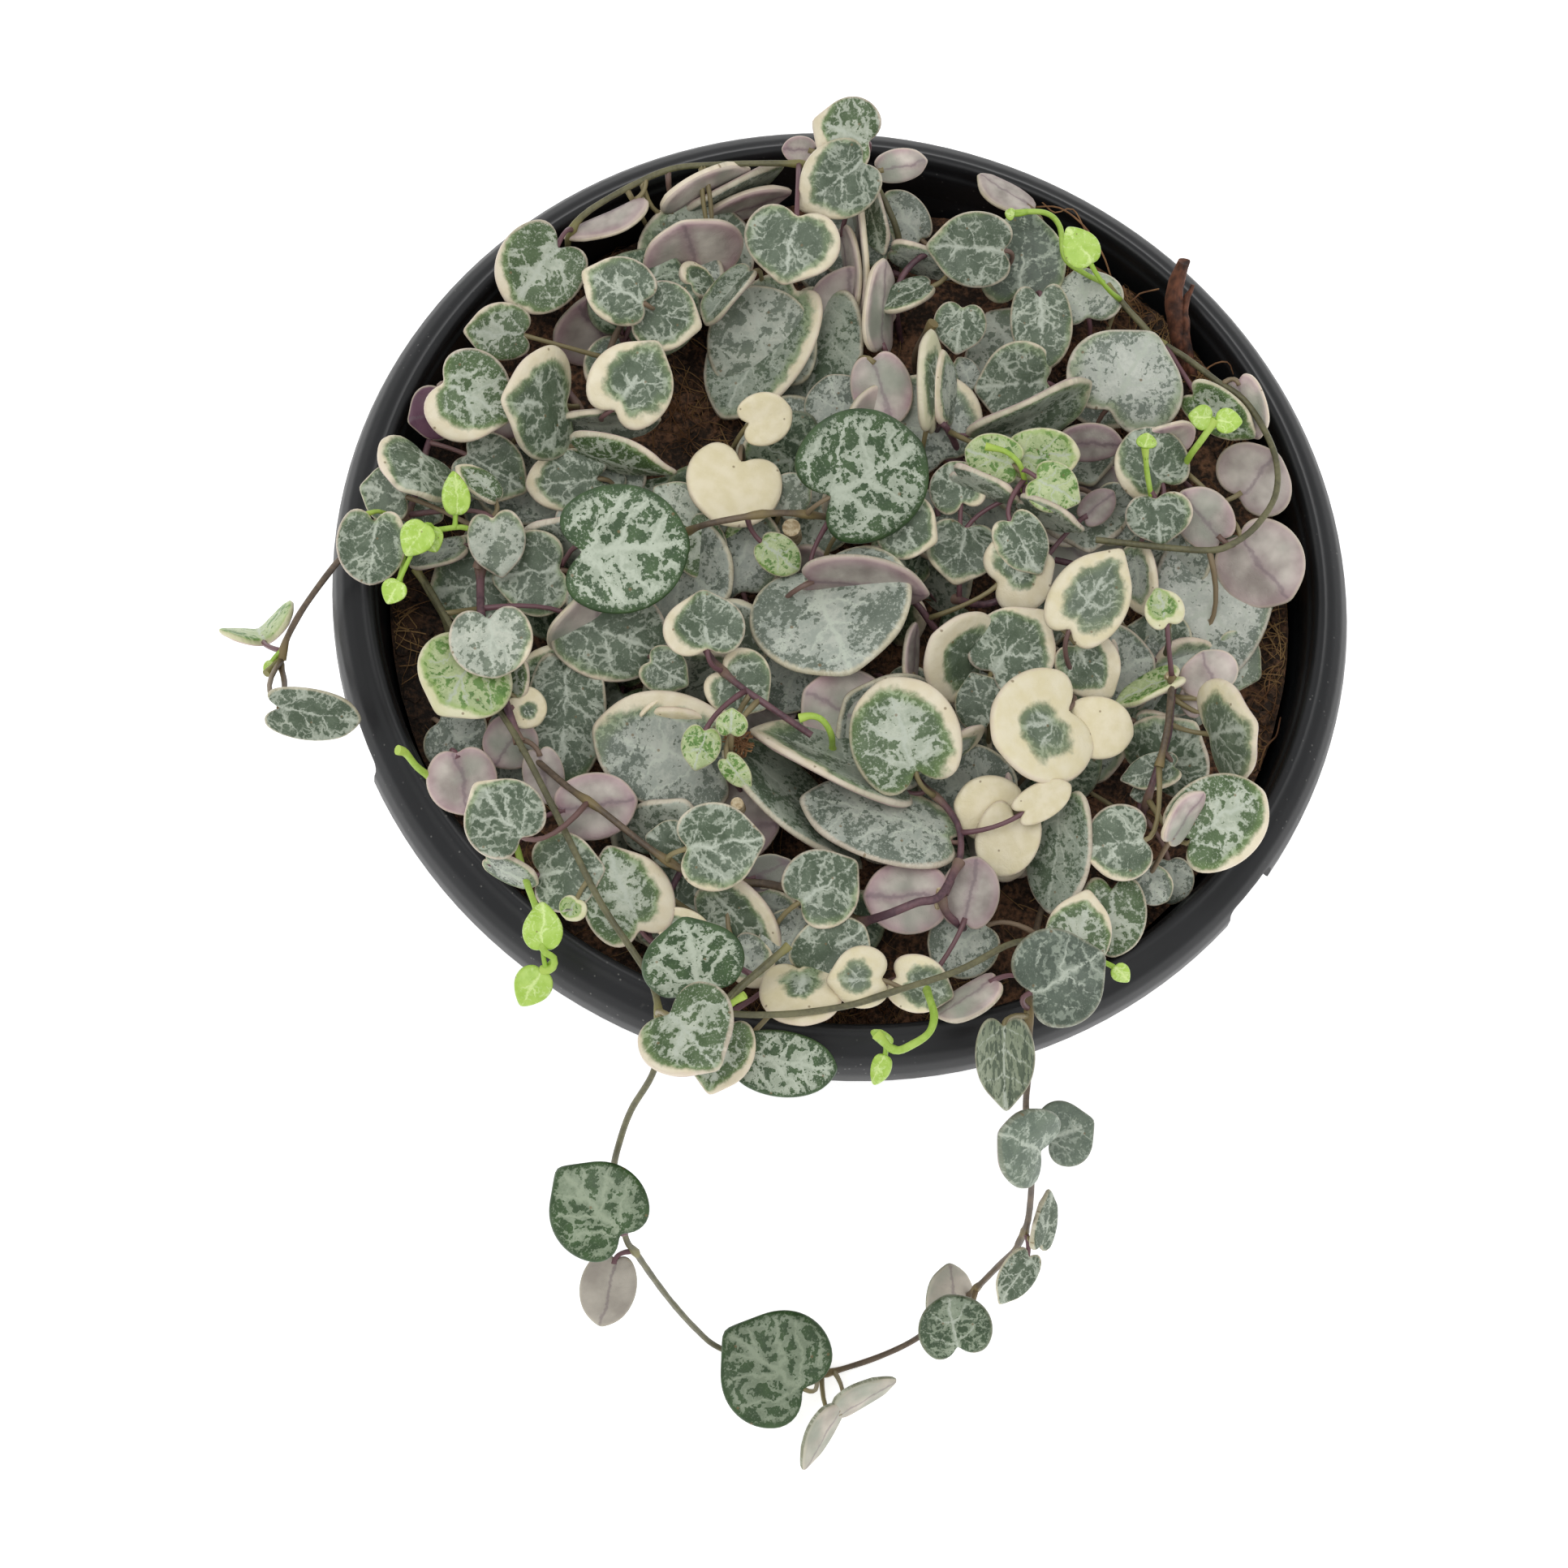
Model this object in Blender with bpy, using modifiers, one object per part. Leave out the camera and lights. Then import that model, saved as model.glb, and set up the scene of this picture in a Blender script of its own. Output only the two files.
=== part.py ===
"""Potted variegated string of hearts.

A black nursery pot with a rolled rim and a skirt, filled with soil, from which thin vines rise,
arch over each other and carry succulent heart-shaped leaves. Three vines leave the pot: two come
over the front rim, fall to the surface and lie along it in a loop, and a short one hangs at the left.

Places in the plant are given on a plan: a square picture of the plant seen from above and in front,
in picture units, with a height in millimetres above the surface that the pot stands on.
"""

import math

import bmesh
import bpy
from mathutils import Matrix, Vector

MM = 0.001

# The pot, turned about the vertical axis, standing on the origin.
POT_HEIGHT = 100 * MM
BASE_RADIUS = 46 * MM
BASE_CORNER = 1.5 * MM
WALL_TOP_RADIUS = 69.4 * MM
WALL_THICKNESS = 1.2 * MM
FLOOR_THICKNESS = 1.6 * MM
RIM_RADIUS = 70.6 * MM
RIM_WIDTH = 1.8 * MM
SHOULDER_RADIUS = 74.0 * MM
SKIRT_RADIUS = 75.0 * MM
SKIRT_DROP = 9.0 * MM
SKIRT_THICKNESS = 1.1 * MM
POT_STEPS = 56

# The three hanger notches cut out of the skirt, and the drain holes in the base.
NOTCH_ANGLES = (81.5, 201.5, 321.5)
NOTCH_WIDTH = 10 * MM
NOTCH_DEPTH_FROM_RIM = 4.2 * MM
NOTCH_INNER_RADIUS = 72.6 * MM
DRAIN_HOLES = 8
DRAIN_RADIUS = 3.0 * MM
DRAIN_CIRCLE = 34 * MM
DRAIN_STEPS = 12

# The soil, level with a low crown.
SOIL_TOP = 88 * MM
SOIL_CROWN = 0.4 * MM
SOIL_EDGE_DROP = 0.4 * MM
CLEARANCE = 0.3 * MM

# Vines and leaves.
VINE_RADIUS = 0.65 * MM
VINE_STEP = 6 * MM
PETIOLE_WIDTH = 0.9 * MM
PETIOLE_STEPS = 3
BLADE_THICKNESS = 1.2 * MM
BLADE_ANGLE_STEP = 24
BLADE_RADII = (0.50, 0.455, 0.46, 0.488, 0.50, 0.50, 0.475)
NOTCH_REACH = 0.28
USUAL_ASPECT = 0.78
LEAST_ASPECT = 0.68
MOST_ASPECT = 0.95
ROLLED_ASPECT = 0.85

# The eye that sees the plan picture.
PICTURE_MIDDLE = 966.0
EYE_FOCAL = 4760.0
EYE_DISTANCE = 550 * MM
EYE_ELEVATION = math.radians(69.1)
EYE_TURN = math.radians(-12.75)
EYE_ROLL = math.radians(13.6)
EYE_AIM = Vector((-9.5 * MM, -33.8 * MM, POT_HEIGHT))

# Each vine: picture x, picture y, height in millimetres, from its root to its end.
VINES = {
    "vine_front_left": (
        (494, 690, 89.1), (512, 700, 96), (545, 752, 99), (600, 850, 102), (640, 915, 104.5),
        (690, 1012, 106), (740, 1112, 106.5), (800, 1205, 106), (812, 1262, 105.5), (806, 1318, 101),
        (778, 1367, 92), (764, 1405, 85), (756, 1443, 78), (762, 1485, 71), (772, 1528, 63),
        (783, 1543, 58), (806, 1576, 43), (829, 1606, 27), (857, 1637, 10), (885, 1660, 2.5),
        (940, 1680, 1.2), (1005, 1694, 1.2),
    ),
    "vine_front_right": (
        (1296, 1085, 89.1), (1285, 1115, 95), (1275, 1155, 101), (1268, 1215, 104), (1268, 1262, 104),
        (1268, 1310, 99.5), (1264, 1362, 92.5), (1268, 1405, 87.5), (1271, 1440, 82), (1270, 1475, 74),
        (1265, 1510, 63), (1252, 1538, 52), (1228, 1562, 40), (1200, 1590, 26), (1165, 1620, 12),
        (1128, 1650, 3), (1082, 1672, 1.2), (1030, 1689, 1.2),
    ),
    "vine_front_side": (
        (1266, 1158, 104.3), (1238, 1166, 107), (1180, 1196, 108), (1100, 1222, 108.5), (1040, 1240, 108),
        (960, 1250, 109), (890, 1246, 109.5), (905, 1222, 109.5), (935, 1196, 110), (968, 1168, 110.5),
    ),
    "vine_left": (
        (504, 655, 89.1), (486, 658, 97.5), (455, 664, 103), (428, 680, 104), (405, 706, 100.5),
        (372, 752, 95), (352, 790, 91), (347, 813, 89.5),
    ),
    "vine_right": (
        (1362, 366, 88.5), (1378, 372, 97), (1400, 392, 103), (1425, 418, 104), (1460, 440, 105),
        (1500, 470, 106), (1532, 492, 106.5), (1558, 530, 107), (1573, 570, 108), (1571, 612, 109),
        (1546, 650, 109), (1515, 672, 108.5), (1490, 678, 108), (1440, 675, 107.5), (1350, 665, 107),
    ),
    "vine_back": (
        (714, 352, 88.5), (702, 318, 97), (702, 290, 102), (728, 258, 103.5), (815, 212, 104.5),
        (880, 203, 105),
        (985, 202, 106), (1040, 212, 105), (1075, 230, 103),
    ),
    "vine_centre": (
        (846, 720, 89.1), (858, 770, 99), (872, 805, 105), (905, 840, 107.5), (950, 872, 108.5),
        (1000, 906, 108),
    ),
    "vine_lower": (
        (625, 915, 89.1), (650, 928, 99), (700, 970, 104), (740, 998, 105.5), (800, 1045, 105.5),
        (850, 1076, 105),
        (905, 1090, 104),
    ),
    "vine_arc": (
        (838, 690, 89.1), (838, 665, 101), (858, 650, 108), (900, 640, 110), (960, 632, 110.5),
        (1022, 638, 107.5),
        (1045, 650, 98), (1050, 658, 89.1),
    ),
    "vine_right_lower": (
        (1450, 800, 89.1), (1447, 842, 100), (1443, 870, 105), (1440, 905, 107), (1425, 950, 107),
        (1412, 990, 104),
        (1405, 1010, 97), (1402, 1020, 89.1),
    ),
    "vine_purple": (
        (1112, 930, 89.1), (1122, 948, 99), (1140, 970, 104), (1165, 993, 105.5), (1182, 1022, 106.5),
        (1182, 1062, 107), (1165, 1102, 107),
    ),
    "vine_crown_left": (
        (745, 560, 89.1), (725, 535, 94), (715, 505, 97.5), (690, 470, 98), (650, 440, 98),
        (610, 440, 98),
        (560, 480, 98.5), (530, 540, 98.5), (515, 600, 99), (500, 640, 100),
    ),
    "vine_crown_back": (
        (900, 430, 89.1), (880, 400, 95), (840, 375, 99), (800, 375, 100.5), (770, 395, 99),
        (752, 430, 99),
        (745, 480, 100), (750, 515, 101),
    ),
    "vine_crown_top": (
        (1110, 420, 89.1), (1105, 385, 96), (1112, 340, 100), (1150, 310, 101.5), (1200, 325, 101),
        (1245, 345, 100), (1290, 400, 99),
    ),
    "vine_crown_right": (
        (1180, 760, 89.1), (1200, 800, 97), (1240, 840, 101), (1300, 858, 103),
        (1335, 830, 103.5), (1340, 790, 103),
        (1350, 740, 100), (1330, 700, 99), (1300, 690, 98),
    ),
    "vine_crown_front": (
        (950, 1000, 89.1), (905, 1020, 97), (855, 1050, 100), (820, 1110, 101), (800, 1155, 101),
        (860, 1205, 102.5),
        (870, 1230, 102.5), (900, 1262, 103), (925, 1285, 102.5),
    ),
}

# Each leaf: its vine, notch x and y, tip x and y, seen width, height in millimetres, and its lean:
# up or down for the tip's side, left or right for the edge that is raised; under shows its back.
LEAVES = {
    "leaf_loop_end": ("vine_front_left", 990, 1712, 893, 1640, 150, 9, "up"),
    "leaf_loop_left": ("vine_front_left", 765, 1522, 687, 1440, 124, 79.5, "up"),
    "leaf_loop_left_under": ("vine_front_left", 758, 1550, 740, 1634, 70, 57, "under"),
    "leaf_drop_left": ("vine_front_right", 1281, 1413, 1224, 1412, 102, 95, "up"),
    "leaf_drop_right": ("vine_front_right", 1292, 1406, 1350, 1385, 94, 88.5, "down"),
    "leaf_loop_folded": ("vine_front_right", 1038, 1740, 1050, 1752, 158, 9.5, "up"),
    "leaf_loop_right": ("vine_front_right", 1180, 1660, 1166, 1596, 92, 29, "up"),
    "leaf_loop_small": ("vine_front_right", 1268, 1548, 1232, 1608, 44, 60, "left"),
    "leaf_rim_hanging": ("vine_front_right", 1237, 1264, 1240, 1369, 74, 109.5, "left"),
    "leaf_rim_round": ("vine_front_right", 1272, 1224, 1362, 1175, 126, 110, "up"),
    "leaf_left_far": ("vine_left", 345, 872, 444, 889, 64, 99, "right"),
    "leaf_left_fold": ("vine_left", 325, 790, 316, 768, 98, 86, "down"),
    "leaf_rim_left_round": ("vine_left", 461, 642, 455, 721, 86, 109, "up"),
    "leaf_front_kidney": ("vine_crown_front", 860, 1214, 841, 1130, 128, 110, "up"),
    "leaf_front_heart": ("vine_front_left", 825, 1250, 882, 1313, 130, 115.5, "up"),
    "leaf_front_back": ("vine_crown_front", 897, 1262, 874, 1349, 84, 107, "up"),
    "leaf_front_right": ("vine_crown_front", 934, 1308, 1030, 1320, 78, 103, "up"),
    "leaf_big_left": ("vine_arc", 716, 680, 850, 668, 160, 113, "up"),
    "leaf_big_middle": ("vine_arc", 1023, 612, 1138, 546, 165, 114, "up"),
    "leaf_pale_heart": ("vine_arc", 913, 570, 882, 640, 120, 105, "up"),
    "leaf_grey_heart": ("vine_centre", 872, 800, 866, 726, 102, 111, "up"),
    "leaf_centre_heart": ("vine_purple", 1126, 950, 1085, 838, 135, 111, "up"),
    "leaf_centre_veined": ("vine_lower", 846, 1045, 943, 1034, 110, 111, "up"),
    "leaf_lower_left": ("vine_lower", 642, 1033, 584, 965, 104, 111, "up"),
    "leaf_left_heart": ("vine_front_left", 602, 762, 611, 836, 104, 112.5, "up"),
    "leaf_left_kidney": ("vine_front_left", 590, 806, 539, 881, 124, 108, "up"),
    "leaf_left_silver": ("vine_crown_left", 607, 638, 619, 712, 72, 108, "up"),
    "leaf_pink_heart": ("vine_crown_left", 546, 471, 632, 515, 118, 109, "up"),
    "leaf_kidney_rim": ("vine_crown_left", 523, 567, 478, 588, 108, 105, "up"),
    "leaf_pink_twin": ("vine_crown_left", 697, 497, 645, 497, 110, 104, "up"),
    "leaf_rim_heart": ("vine_back", 688, 305, 628, 378, 110, 106, "up"),
    "leaf_cream_heart": ("vine_crown_back", 757, 506, 812, 420, 106, 109, "up"),
    "leaf_pair_left": ("vine_crown_back", 793, 372, 716, 334, 84, 109.5, "up"),
    "leaf_crown_heart": ("vine_back", 983, 266, 964, 351, 120, 111, "up"),
    "leaf_top": ("vine_back", 1071, 175, 1001, 149, 96, 113, "up"),
    "leaf_back_round": ("vine_crown_top", 1237, 309, 1141, 303, 94, 107, "up"),
    "leaf_back_small": ("vine_crown_top", 1266, 368, 1272, 455, 76, 106, "up"),
    "leaf_cream_patch": ("vine_crown_right", 1316, 876, 1226, 915, 146, 112, "up"),
    "leaf_cream_right": ("vine_crown_right", 1318, 776, 1383, 676, 98, 113, "up"),
    "leaf_cream_middle": ("vine_crown_right", 1222, 828, 1290, 752, 108, 106, "up"),
    "leaf_right_lower": ("vine_right_lower", 1466, 1034, 1559, 975, 116, 110, "up"),
}

LEAF_COLOURS = {
    "green": ((0.25, 0.32, 0.24), 0.45),
    "cream": ((0.78, 0.73, 0.56), 0.42),
    "mauve": ((0.45, 0.33, 0.34), 0.5),
}
CREAM_LEAVES = ("leaf_pale_heart", "leaf_cream_patch", "leaf_cream_right", "leaf_cream_heart")
MAUVE_LEAVES = ("leaf_loop_left_under",)


def clear_scene():
    for item in list(bpy.data.objects):
        bpy.data.objects.remove(item)


def collection(name):
    group = bpy.data.collections.new(name)
    bpy.context.scene.collection.children.link(group)
    return group


def material(name, colour, roughness, metallic=0.0):
    finish = bpy.data.materials.new(name)
    finish.use_nodes = True
    shader = finish.node_tree.nodes["Principled BSDF"]
    shader.inputs["Base Color"].default_value = (*colour, 1.0)
    shader.inputs["Roughness"].default_value = roughness
    shader.inputs["Metallic"].default_value = metallic
    return finish


def add_mesh(name, bm, group, finish, smooth=True):
    mesh = bpy.data.meshes.new(name)
    bm.to_mesh(mesh)
    bm.free()
    if smooth:
        mesh.shade_smooth()
        mesh.set_sharp_from_angle(angle=math.radians(35))
    mesh.materials.append(finish)
    item = bpy.data.objects.new(name, mesh)
    group.objects.link(item)
    return item


def turned(name, profile, steps, group, finish):
    """A closed outline of (radius, height) points, turned about the vertical axis."""
    bm = bmesh.new()
    points = [bm.verts.new((radius, 0, height)) for radius, height in profile]
    for first, second in zip(points, points[1:]):
        bm.edges.new((first, second))
    if profile[0][0] > 0:
        bm.edges.new((points[-1], points[0]))
    item = add_mesh(name, bm, group, finish, smooth=False)
    screw = item.modifiers.new("turn", "SCREW")
    screw.steps = steps
    screw.render_steps = steps
    screw.use_merge_vertices = True
    screw.merge_threshold = 0.00001
    screw.use_smooth_shade = True
    return item


def cut(item, cutter):
    boolean = item.modifiers.new("cut", "BOOLEAN")
    boolean.operation = "DIFFERENCE"
    boolean.object = cutter


def add_cutter(name, bm, group):
    mesh = bpy.data.meshes.new(name)
    bm.to_mesh(mesh)
    bm.free()
    cutter = bpy.data.objects.new(name, mesh)
    group.objects.link(cutter)
    cutter.hide_render = True
    cutter.display_type = "WIRE"
    return cutter


def wall_radius(height):
    """The outer radius of the tapered wall at a height."""
    share = height / (POT_HEIGHT - SKIRT_DROP)
    return BASE_RADIUS + (WALL_TOP_RADIUS - BASE_RADIUS) * share


def pot_profile():
    top = POT_HEIGHT
    inner_rim = RIM_RADIUS - RIM_WIDTH
    inner_top = WALL_TOP_RADIUS - WALL_THICKNESS
    return (
        (0, 0),
        (0, FLOOR_THICKNESS),
        (wall_radius(FLOOR_THICKNESS) - WALL_THICKNESS, FLOOR_THICKNESS),
        (inner_top, top - SKIRT_DROP),
        (inner_rim, top - 2.4 * MM),
        (inner_rim + 0.1 * MM, top - 0.5 * MM),
        (inner_rim + 0.6 * MM, top),
        (RIM_RADIUS, top - 0.1 * MM),
        (RIM_RADIUS + 1.6 * MM, top - 0.8 * MM),
        (SHOULDER_RADIUS, top - 2.6 * MM),
        (SHOULDER_RADIUS + 0.6 * MM, top - 5.0 * MM),
        (SKIRT_RADIUS, top - SKIRT_DROP),
        (SKIRT_RADIUS - SKIRT_THICKNESS, top - SKIRT_DROP),
        (SHOULDER_RADIUS - 0.6 * MM, top - 4.6 * MM),
        (SHOULDER_RADIUS - 1.6 * MM, top - 3.2 * MM),
        (RIM_RADIUS + 0.5 * MM, top - 2.4 * MM),
        (WALL_TOP_RADIUS + 0.3 * MM, top - 3.2 * MM),
        (WALL_TOP_RADIUS, top - SKIRT_DROP),
        (wall_radius(BASE_CORNER), BASE_CORNER),
        (BASE_RADIUS - BASE_CORNER, 0),
    )


def make_pot(group, cutters):
    finish = material("pot_plastic", (0.024, 0.024, 0.026), 0.42)
    pot = turned("pot", tuple(reversed(pot_profile())), POT_STEPS, group, finish)
    for angle in NOTCH_ANGLES:
        bm = bmesh.new()
        bmesh.ops.create_cube(bm, size=1)
        depth = SKIRT_RADIUS - NOTCH_INNER_RADIUS + 4 * MM
        height = SKIRT_DROP - NOTCH_DEPTH_FROM_RIM + 2 * MM
        bmesh.ops.scale(bm, vec=(depth, NOTCH_WIDTH, height), verts=bm.verts)
        middle = (NOTCH_INNER_RADIUS + depth / 2, 0, POT_HEIGHT - NOTCH_DEPTH_FROM_RIM - height / 2)
        bmesh.ops.translate(bm, vec=middle, verts=bm.verts)
        turn = Matrix.Rotation(math.radians(angle), 3, "Z")
        bmesh.ops.rotate(bm, matrix=turn, verts=bm.verts)
        cut(pot, add_cutter("hanger_notch", bm, cutters))
    for hole in range(DRAIN_HOLES):
        angle = math.tau * (hole + 0.5) / DRAIN_HOLES
        place = (DRAIN_CIRCLE * math.cos(angle), DRAIN_CIRCLE * math.sin(angle), FLOOR_THICKNESS / 2)
        bm = bmesh.new()
        bmesh.ops.create_cone(
            bm, cap_ends=True, segments=DRAIN_STEPS, radius1=DRAIN_RADIUS, radius2=DRAIN_RADIUS,
            depth=3 * FLOOR_THICKNESS, matrix=Matrix.Translation(place),
        )
        cut(pot, add_cutter("drain_hole", bm, cutters))


def make_soil(group):
    finish = material("soil", (0.045, 0.026, 0.016), 0.95)
    bottom = FLOOR_THICKNESS + CLEARANCE
    inset = WALL_THICKNESS + CLEARANCE * 1.4
    profile = (
        (0, SOIL_TOP + SOIL_CROWN),
        (0.45 * WALL_TOP_RADIUS, SOIL_TOP + 0.8 * SOIL_CROWN),
        (0.8 * WALL_TOP_RADIUS, SOIL_TOP),
        (wall_radius(SOIL_TOP - SOIL_EDGE_DROP) - inset, SOIL_TOP - SOIL_EDGE_DROP),
        (wall_radius(bottom) - inset, bottom),
        (0, bottom),
    )
    turned("soil", profile, POT_STEPS, group, finish)


def eye_frame():
    """The eye's place and the directions that it sees as right, up and forward."""
    back = Vector((
        math.cos(EYE_ELEVATION) * math.sin(EYE_TURN),
        -math.cos(EYE_ELEVATION) * math.cos(EYE_TURN),
        math.sin(EYE_ELEVATION),
    ))
    level_right = (-back).cross(Vector((0, 0, 1))).normalized()
    level_up = level_right.cross(-back)
    right = math.cos(EYE_ROLL) * level_right + math.sin(EYE_ROLL) * level_up
    up = math.cos(EYE_ROLL) * level_up - math.sin(EYE_ROLL) * level_right
    return EYE_AIM + EYE_DISTANCE * back, right, up, -back


EYE, EYE_RIGHT, EYE_UP, EYE_FORWARD = eye_frame()


def sight(x, y):
    """The direction of sight through a picture point, one unit deep."""
    across = (x - PICTURE_MIDDLE) / EYE_FOCAL
    above = (PICTURE_MIDDLE - y) / EYE_FOCAL
    return EYE_FORWARD + across * EYE_RIGHT + above * EYE_UP


def at(x, y, height):
    """The place that a picture point shows at a height in millimetres."""
    ray = sight(x, y)
    return EYE + ray * ((height * MM - EYE.z) / ray.z)


def depth_of(place):
    return (place - EYE).dot(EYE_FORWARD)


def smooth_route(points, step):
    """Points about a step apart on a smooth curve through the given ones."""
    padded = [2 * points[0] - points[1], *points, 2 * points[-1] - points[-2]]
    route = [points[0]]
    for before, start, end, after in zip(padded, padded[1:], padded[2:], padded[3:]):
        pieces = max(1, round((end - start).length / step))
        for piece in range(1, pieces + 1):
            t = piece / pieces
            place = 0.5 * (
                2 * start
                + (end - before) * t
                + (2 * before - 5 * start + 4 * end - after) * t**2
                + (3 * start - before - 3 * end + after) * t**3
            )
            route.append(place)
    return route


def make_vine(name, plan, group, finish):
    route = smooth_route([at(*point) for point in plan], VINE_STEP)
    curve = bpy.data.curves.new(name, "CURVE")
    curve.dimensions = "3D"
    curve.bevel_depth = VINE_RADIUS
    curve.bevel_resolution = 1
    curve.use_fill_caps = True
    spline = curve.splines.new("POLY")
    spline.points.add(len(route) - 1)
    for point, place in zip(spline.points, route):
        point.co = (*place, 1)
    curve.materials.append(finish)
    group.objects.link(bpy.data.objects.new(name, curve))
    return route


def nearest_on(route, place):
    """The point of a route nearest to a place."""
    best = route[0]
    for start, end in zip(route, route[1:]):
        along = end - start
        share = max(0.0, min(1.0, (place - start).dot(along) / along.length_squared))
        point = start + share * along
        if (point - place).length < (best - place).length:
            best = point
    return best


def blade_frame(notch_x, notch_y, tip_x, tip_y, width, height, lean):
    """The notch's place, the blade's along, side and normal directions, its width and its length."""
    notch = at(notch_x, notch_y, height)
    unit = depth_of(notch) / EYE_FOCAL
    seen_width = width * unit
    seen_length = math.hypot(tip_x - notch_x, tip_y - notch_y) * unit
    ratio = seen_length / seen_width
    ray = sight(tip_x, tip_y)
    facing = EYE + ray * depth_of(notch)
    roll = 0.0
    if ratio < LEAST_ASPECT:
        length = USUAL_ASPECT * seen_width
        swing = math.sqrt(length**2 - seen_length**2)
        facing = facing + ray.normalized() * (swing if lean == "down" else -swing)
        true_width = seen_width
    elif ratio > MOST_ASPECT:
        length = seen_length
        true_width = length / ROLLED_ASPECT
        roll = math.acos(seen_width / true_width) * (-1 if lean == "left" else 1)
    else:
        length = seen_length
        true_width = seen_width
    along = (facing - notch).normalized()
    side = along.cross(ray).normalized()
    side.rotate(Matrix.Rotation(roll, 3, along))
    normal = side.cross(along)
    if lean == "under":
        side, normal = -side, -normal
    return notch, along, side, normal, true_width, length


def outline(true_width, length):
    """The blade's outline from the right of its notch round the tip to the left of it."""
    half = []
    stretch = length / (USUAL_ASPECT * true_width)
    for step, radius in enumerate(BLADE_RADII):
        angle = math.radians(step * BLADE_ANGLE_STEP)
        across = radius * true_width * math.sin(angle)
        half.append((across, (radius * math.cos(angle) + NOTCH_REACH) * true_width * stretch))
    half.append((PETIOLE_WIDTH / 2, 0))
    left = [(-across, ahead) for across, ahead in half[1:]]
    return list(reversed(half)) + left


def make_leaf(name, plan, route, group, finish):
    notch, along, side, normal, true_width, length = blade_frame(*plan)
    edge = outline(true_width, length)
    bm = bmesh.new()
    bmesh.ops.create_circle(bm, cap_ends=True, segments=len(edge), radius=1)
    for vertex, (across, ahead) in zip(bm.verts, edge):
        vertex.co = notch + across * side + ahead * along - normal * BLADE_THICKNESS / 2
    bm.normal_update()
    face = next(iter(bm.faces))
    if face.normal.dot(normal) > 0:
        bmesh.ops.reverse_faces(bm, faces=[face])
    raised = bmesh.ops.extrude_face_region(bm, geom=[face], use_keep_orig=True)
    top = [item for item in raised["geom"] if isinstance(item, bmesh.types.BMVert)]
    bmesh.ops.translate(bm, vec=normal * BLADE_THICKNESS, verts=top)
    bmesh.ops.recalc_face_normals(bm, faces=bm.faces)
    stalk = min(bm.faces, key=lambda item: (item.calc_center_median() - notch).length)
    grow_petiole(bm, stalk, notch, -along, route)
    add_mesh(name, bm, group, finish)


def grow_petiole(bm, stalk, notch, leaving, route):
    """Draws the notch's small face out to the vine and stops just short of it."""
    joint = nearest_on(route, notch + leaving * 2 * MM)
    reach = joint - notch
    bend = notch + leaving * min(3 * MM, 0.5 * reach.length)
    arriving = (joint - bend).normalized()
    end = joint - arriving * (VINE_RADIUS + 1.4 * CLEARANCE)
    face = stalk
    centre = notch
    heading = leaving
    for step in range(1, PETIOLE_STEPS + 1):
        t = step / PETIOLE_STEPS
        place = (1 - t) ** 2 * notch + 2 * t * (1 - t) * bend + t**2 * end
        new_heading = ((1 - t) * (bend - notch) + t * (end - bend)).normalized()
        grown = bmesh.ops.extrude_discrete_faces(bm, faces=[face])
        face = grown["faces"][0]
        turn = heading.rotation_difference(new_heading).to_matrix()
        shrink = PETIOLE_WIDTH / BLADE_THICKNESS if step == 1 else 1.0
        for vertex in face.verts:
            vertex.co = place + turn @ ((vertex.co - centre) * shrink)
        centre = place
        heading = new_heading


def make_stick(group):
    """The dried stem stub that stands in the soil and leans on the rim."""
    finish = material("dried_stick", (0.16, 0.055, 0.03), 0.8)
    route = [at(1466, 470, 89.1), at(1452, 410, 98), at(1447, 360, 105), at(1460, 322, 111)]
    widths = (1.0, 1.25, 1.2, 0.8)
    curve = bpy.data.curves.new("dried_stick", "CURVE")
    curve.dimensions = "3D"
    curve.bevel_depth = 1.6 * MM
    curve.bevel_resolution = 2
    curve.use_fill_caps = True
    spline = curve.splines.new("POLY")
    spline.points.add(len(route) - 1)
    for point, place, width in zip(spline.points, route, widths):
        point.co = (*place, 1)
        point.radius = width
    curve.materials.append(finish)
    group.objects.link(bpy.data.objects.new("dried_stick", curve))


def leaf_finish(name, finishes):
    if name in CREAM_LEAVES:
        return finishes["cream"]
    if name in MAUVE_LEAVES:
        return finishes["mauve"]
    return finishes["green"]


def main():
    clear_scene()
    plant = collection("potted_string_of_hearts")
    cutters = collection("cutters")
    make_pot(plant, cutters)
    make_soil(plant)
    make_stick(plant)
    bark = material("vine", (0.16, 0.12, 0.07), 0.6)
    routes = {name: make_vine(name, plan, plant, bark) for name, plan in VINES.items()}
    finishes = {name: material("leaf_" + name, *look) for name, look in LEAF_COLOURS.items()}
    for name, (vine, *plan) in LEAVES.items():
        make_leaf(name, plan, routes[vine], plant, leaf_finish(name, finishes))


main()
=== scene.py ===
"""Potted variegated string of hearts: the looks.

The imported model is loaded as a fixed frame, and fine pieces are put around it: the moulded pot with its
rolled rim, crumbly soil with loose fibres, wiry stems with swollen nodes, and some two hundred succulent
leaves, each a blade with its own bend, its own stalk and its own mottling. Plainer old ones lie below.

Places in the plant are given on a plan, as in the model's own source: a square picture of the plant
seen from above and in front, in picture units, with a height in millimetres above the surface that
the pot stands on.
"""

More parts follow.
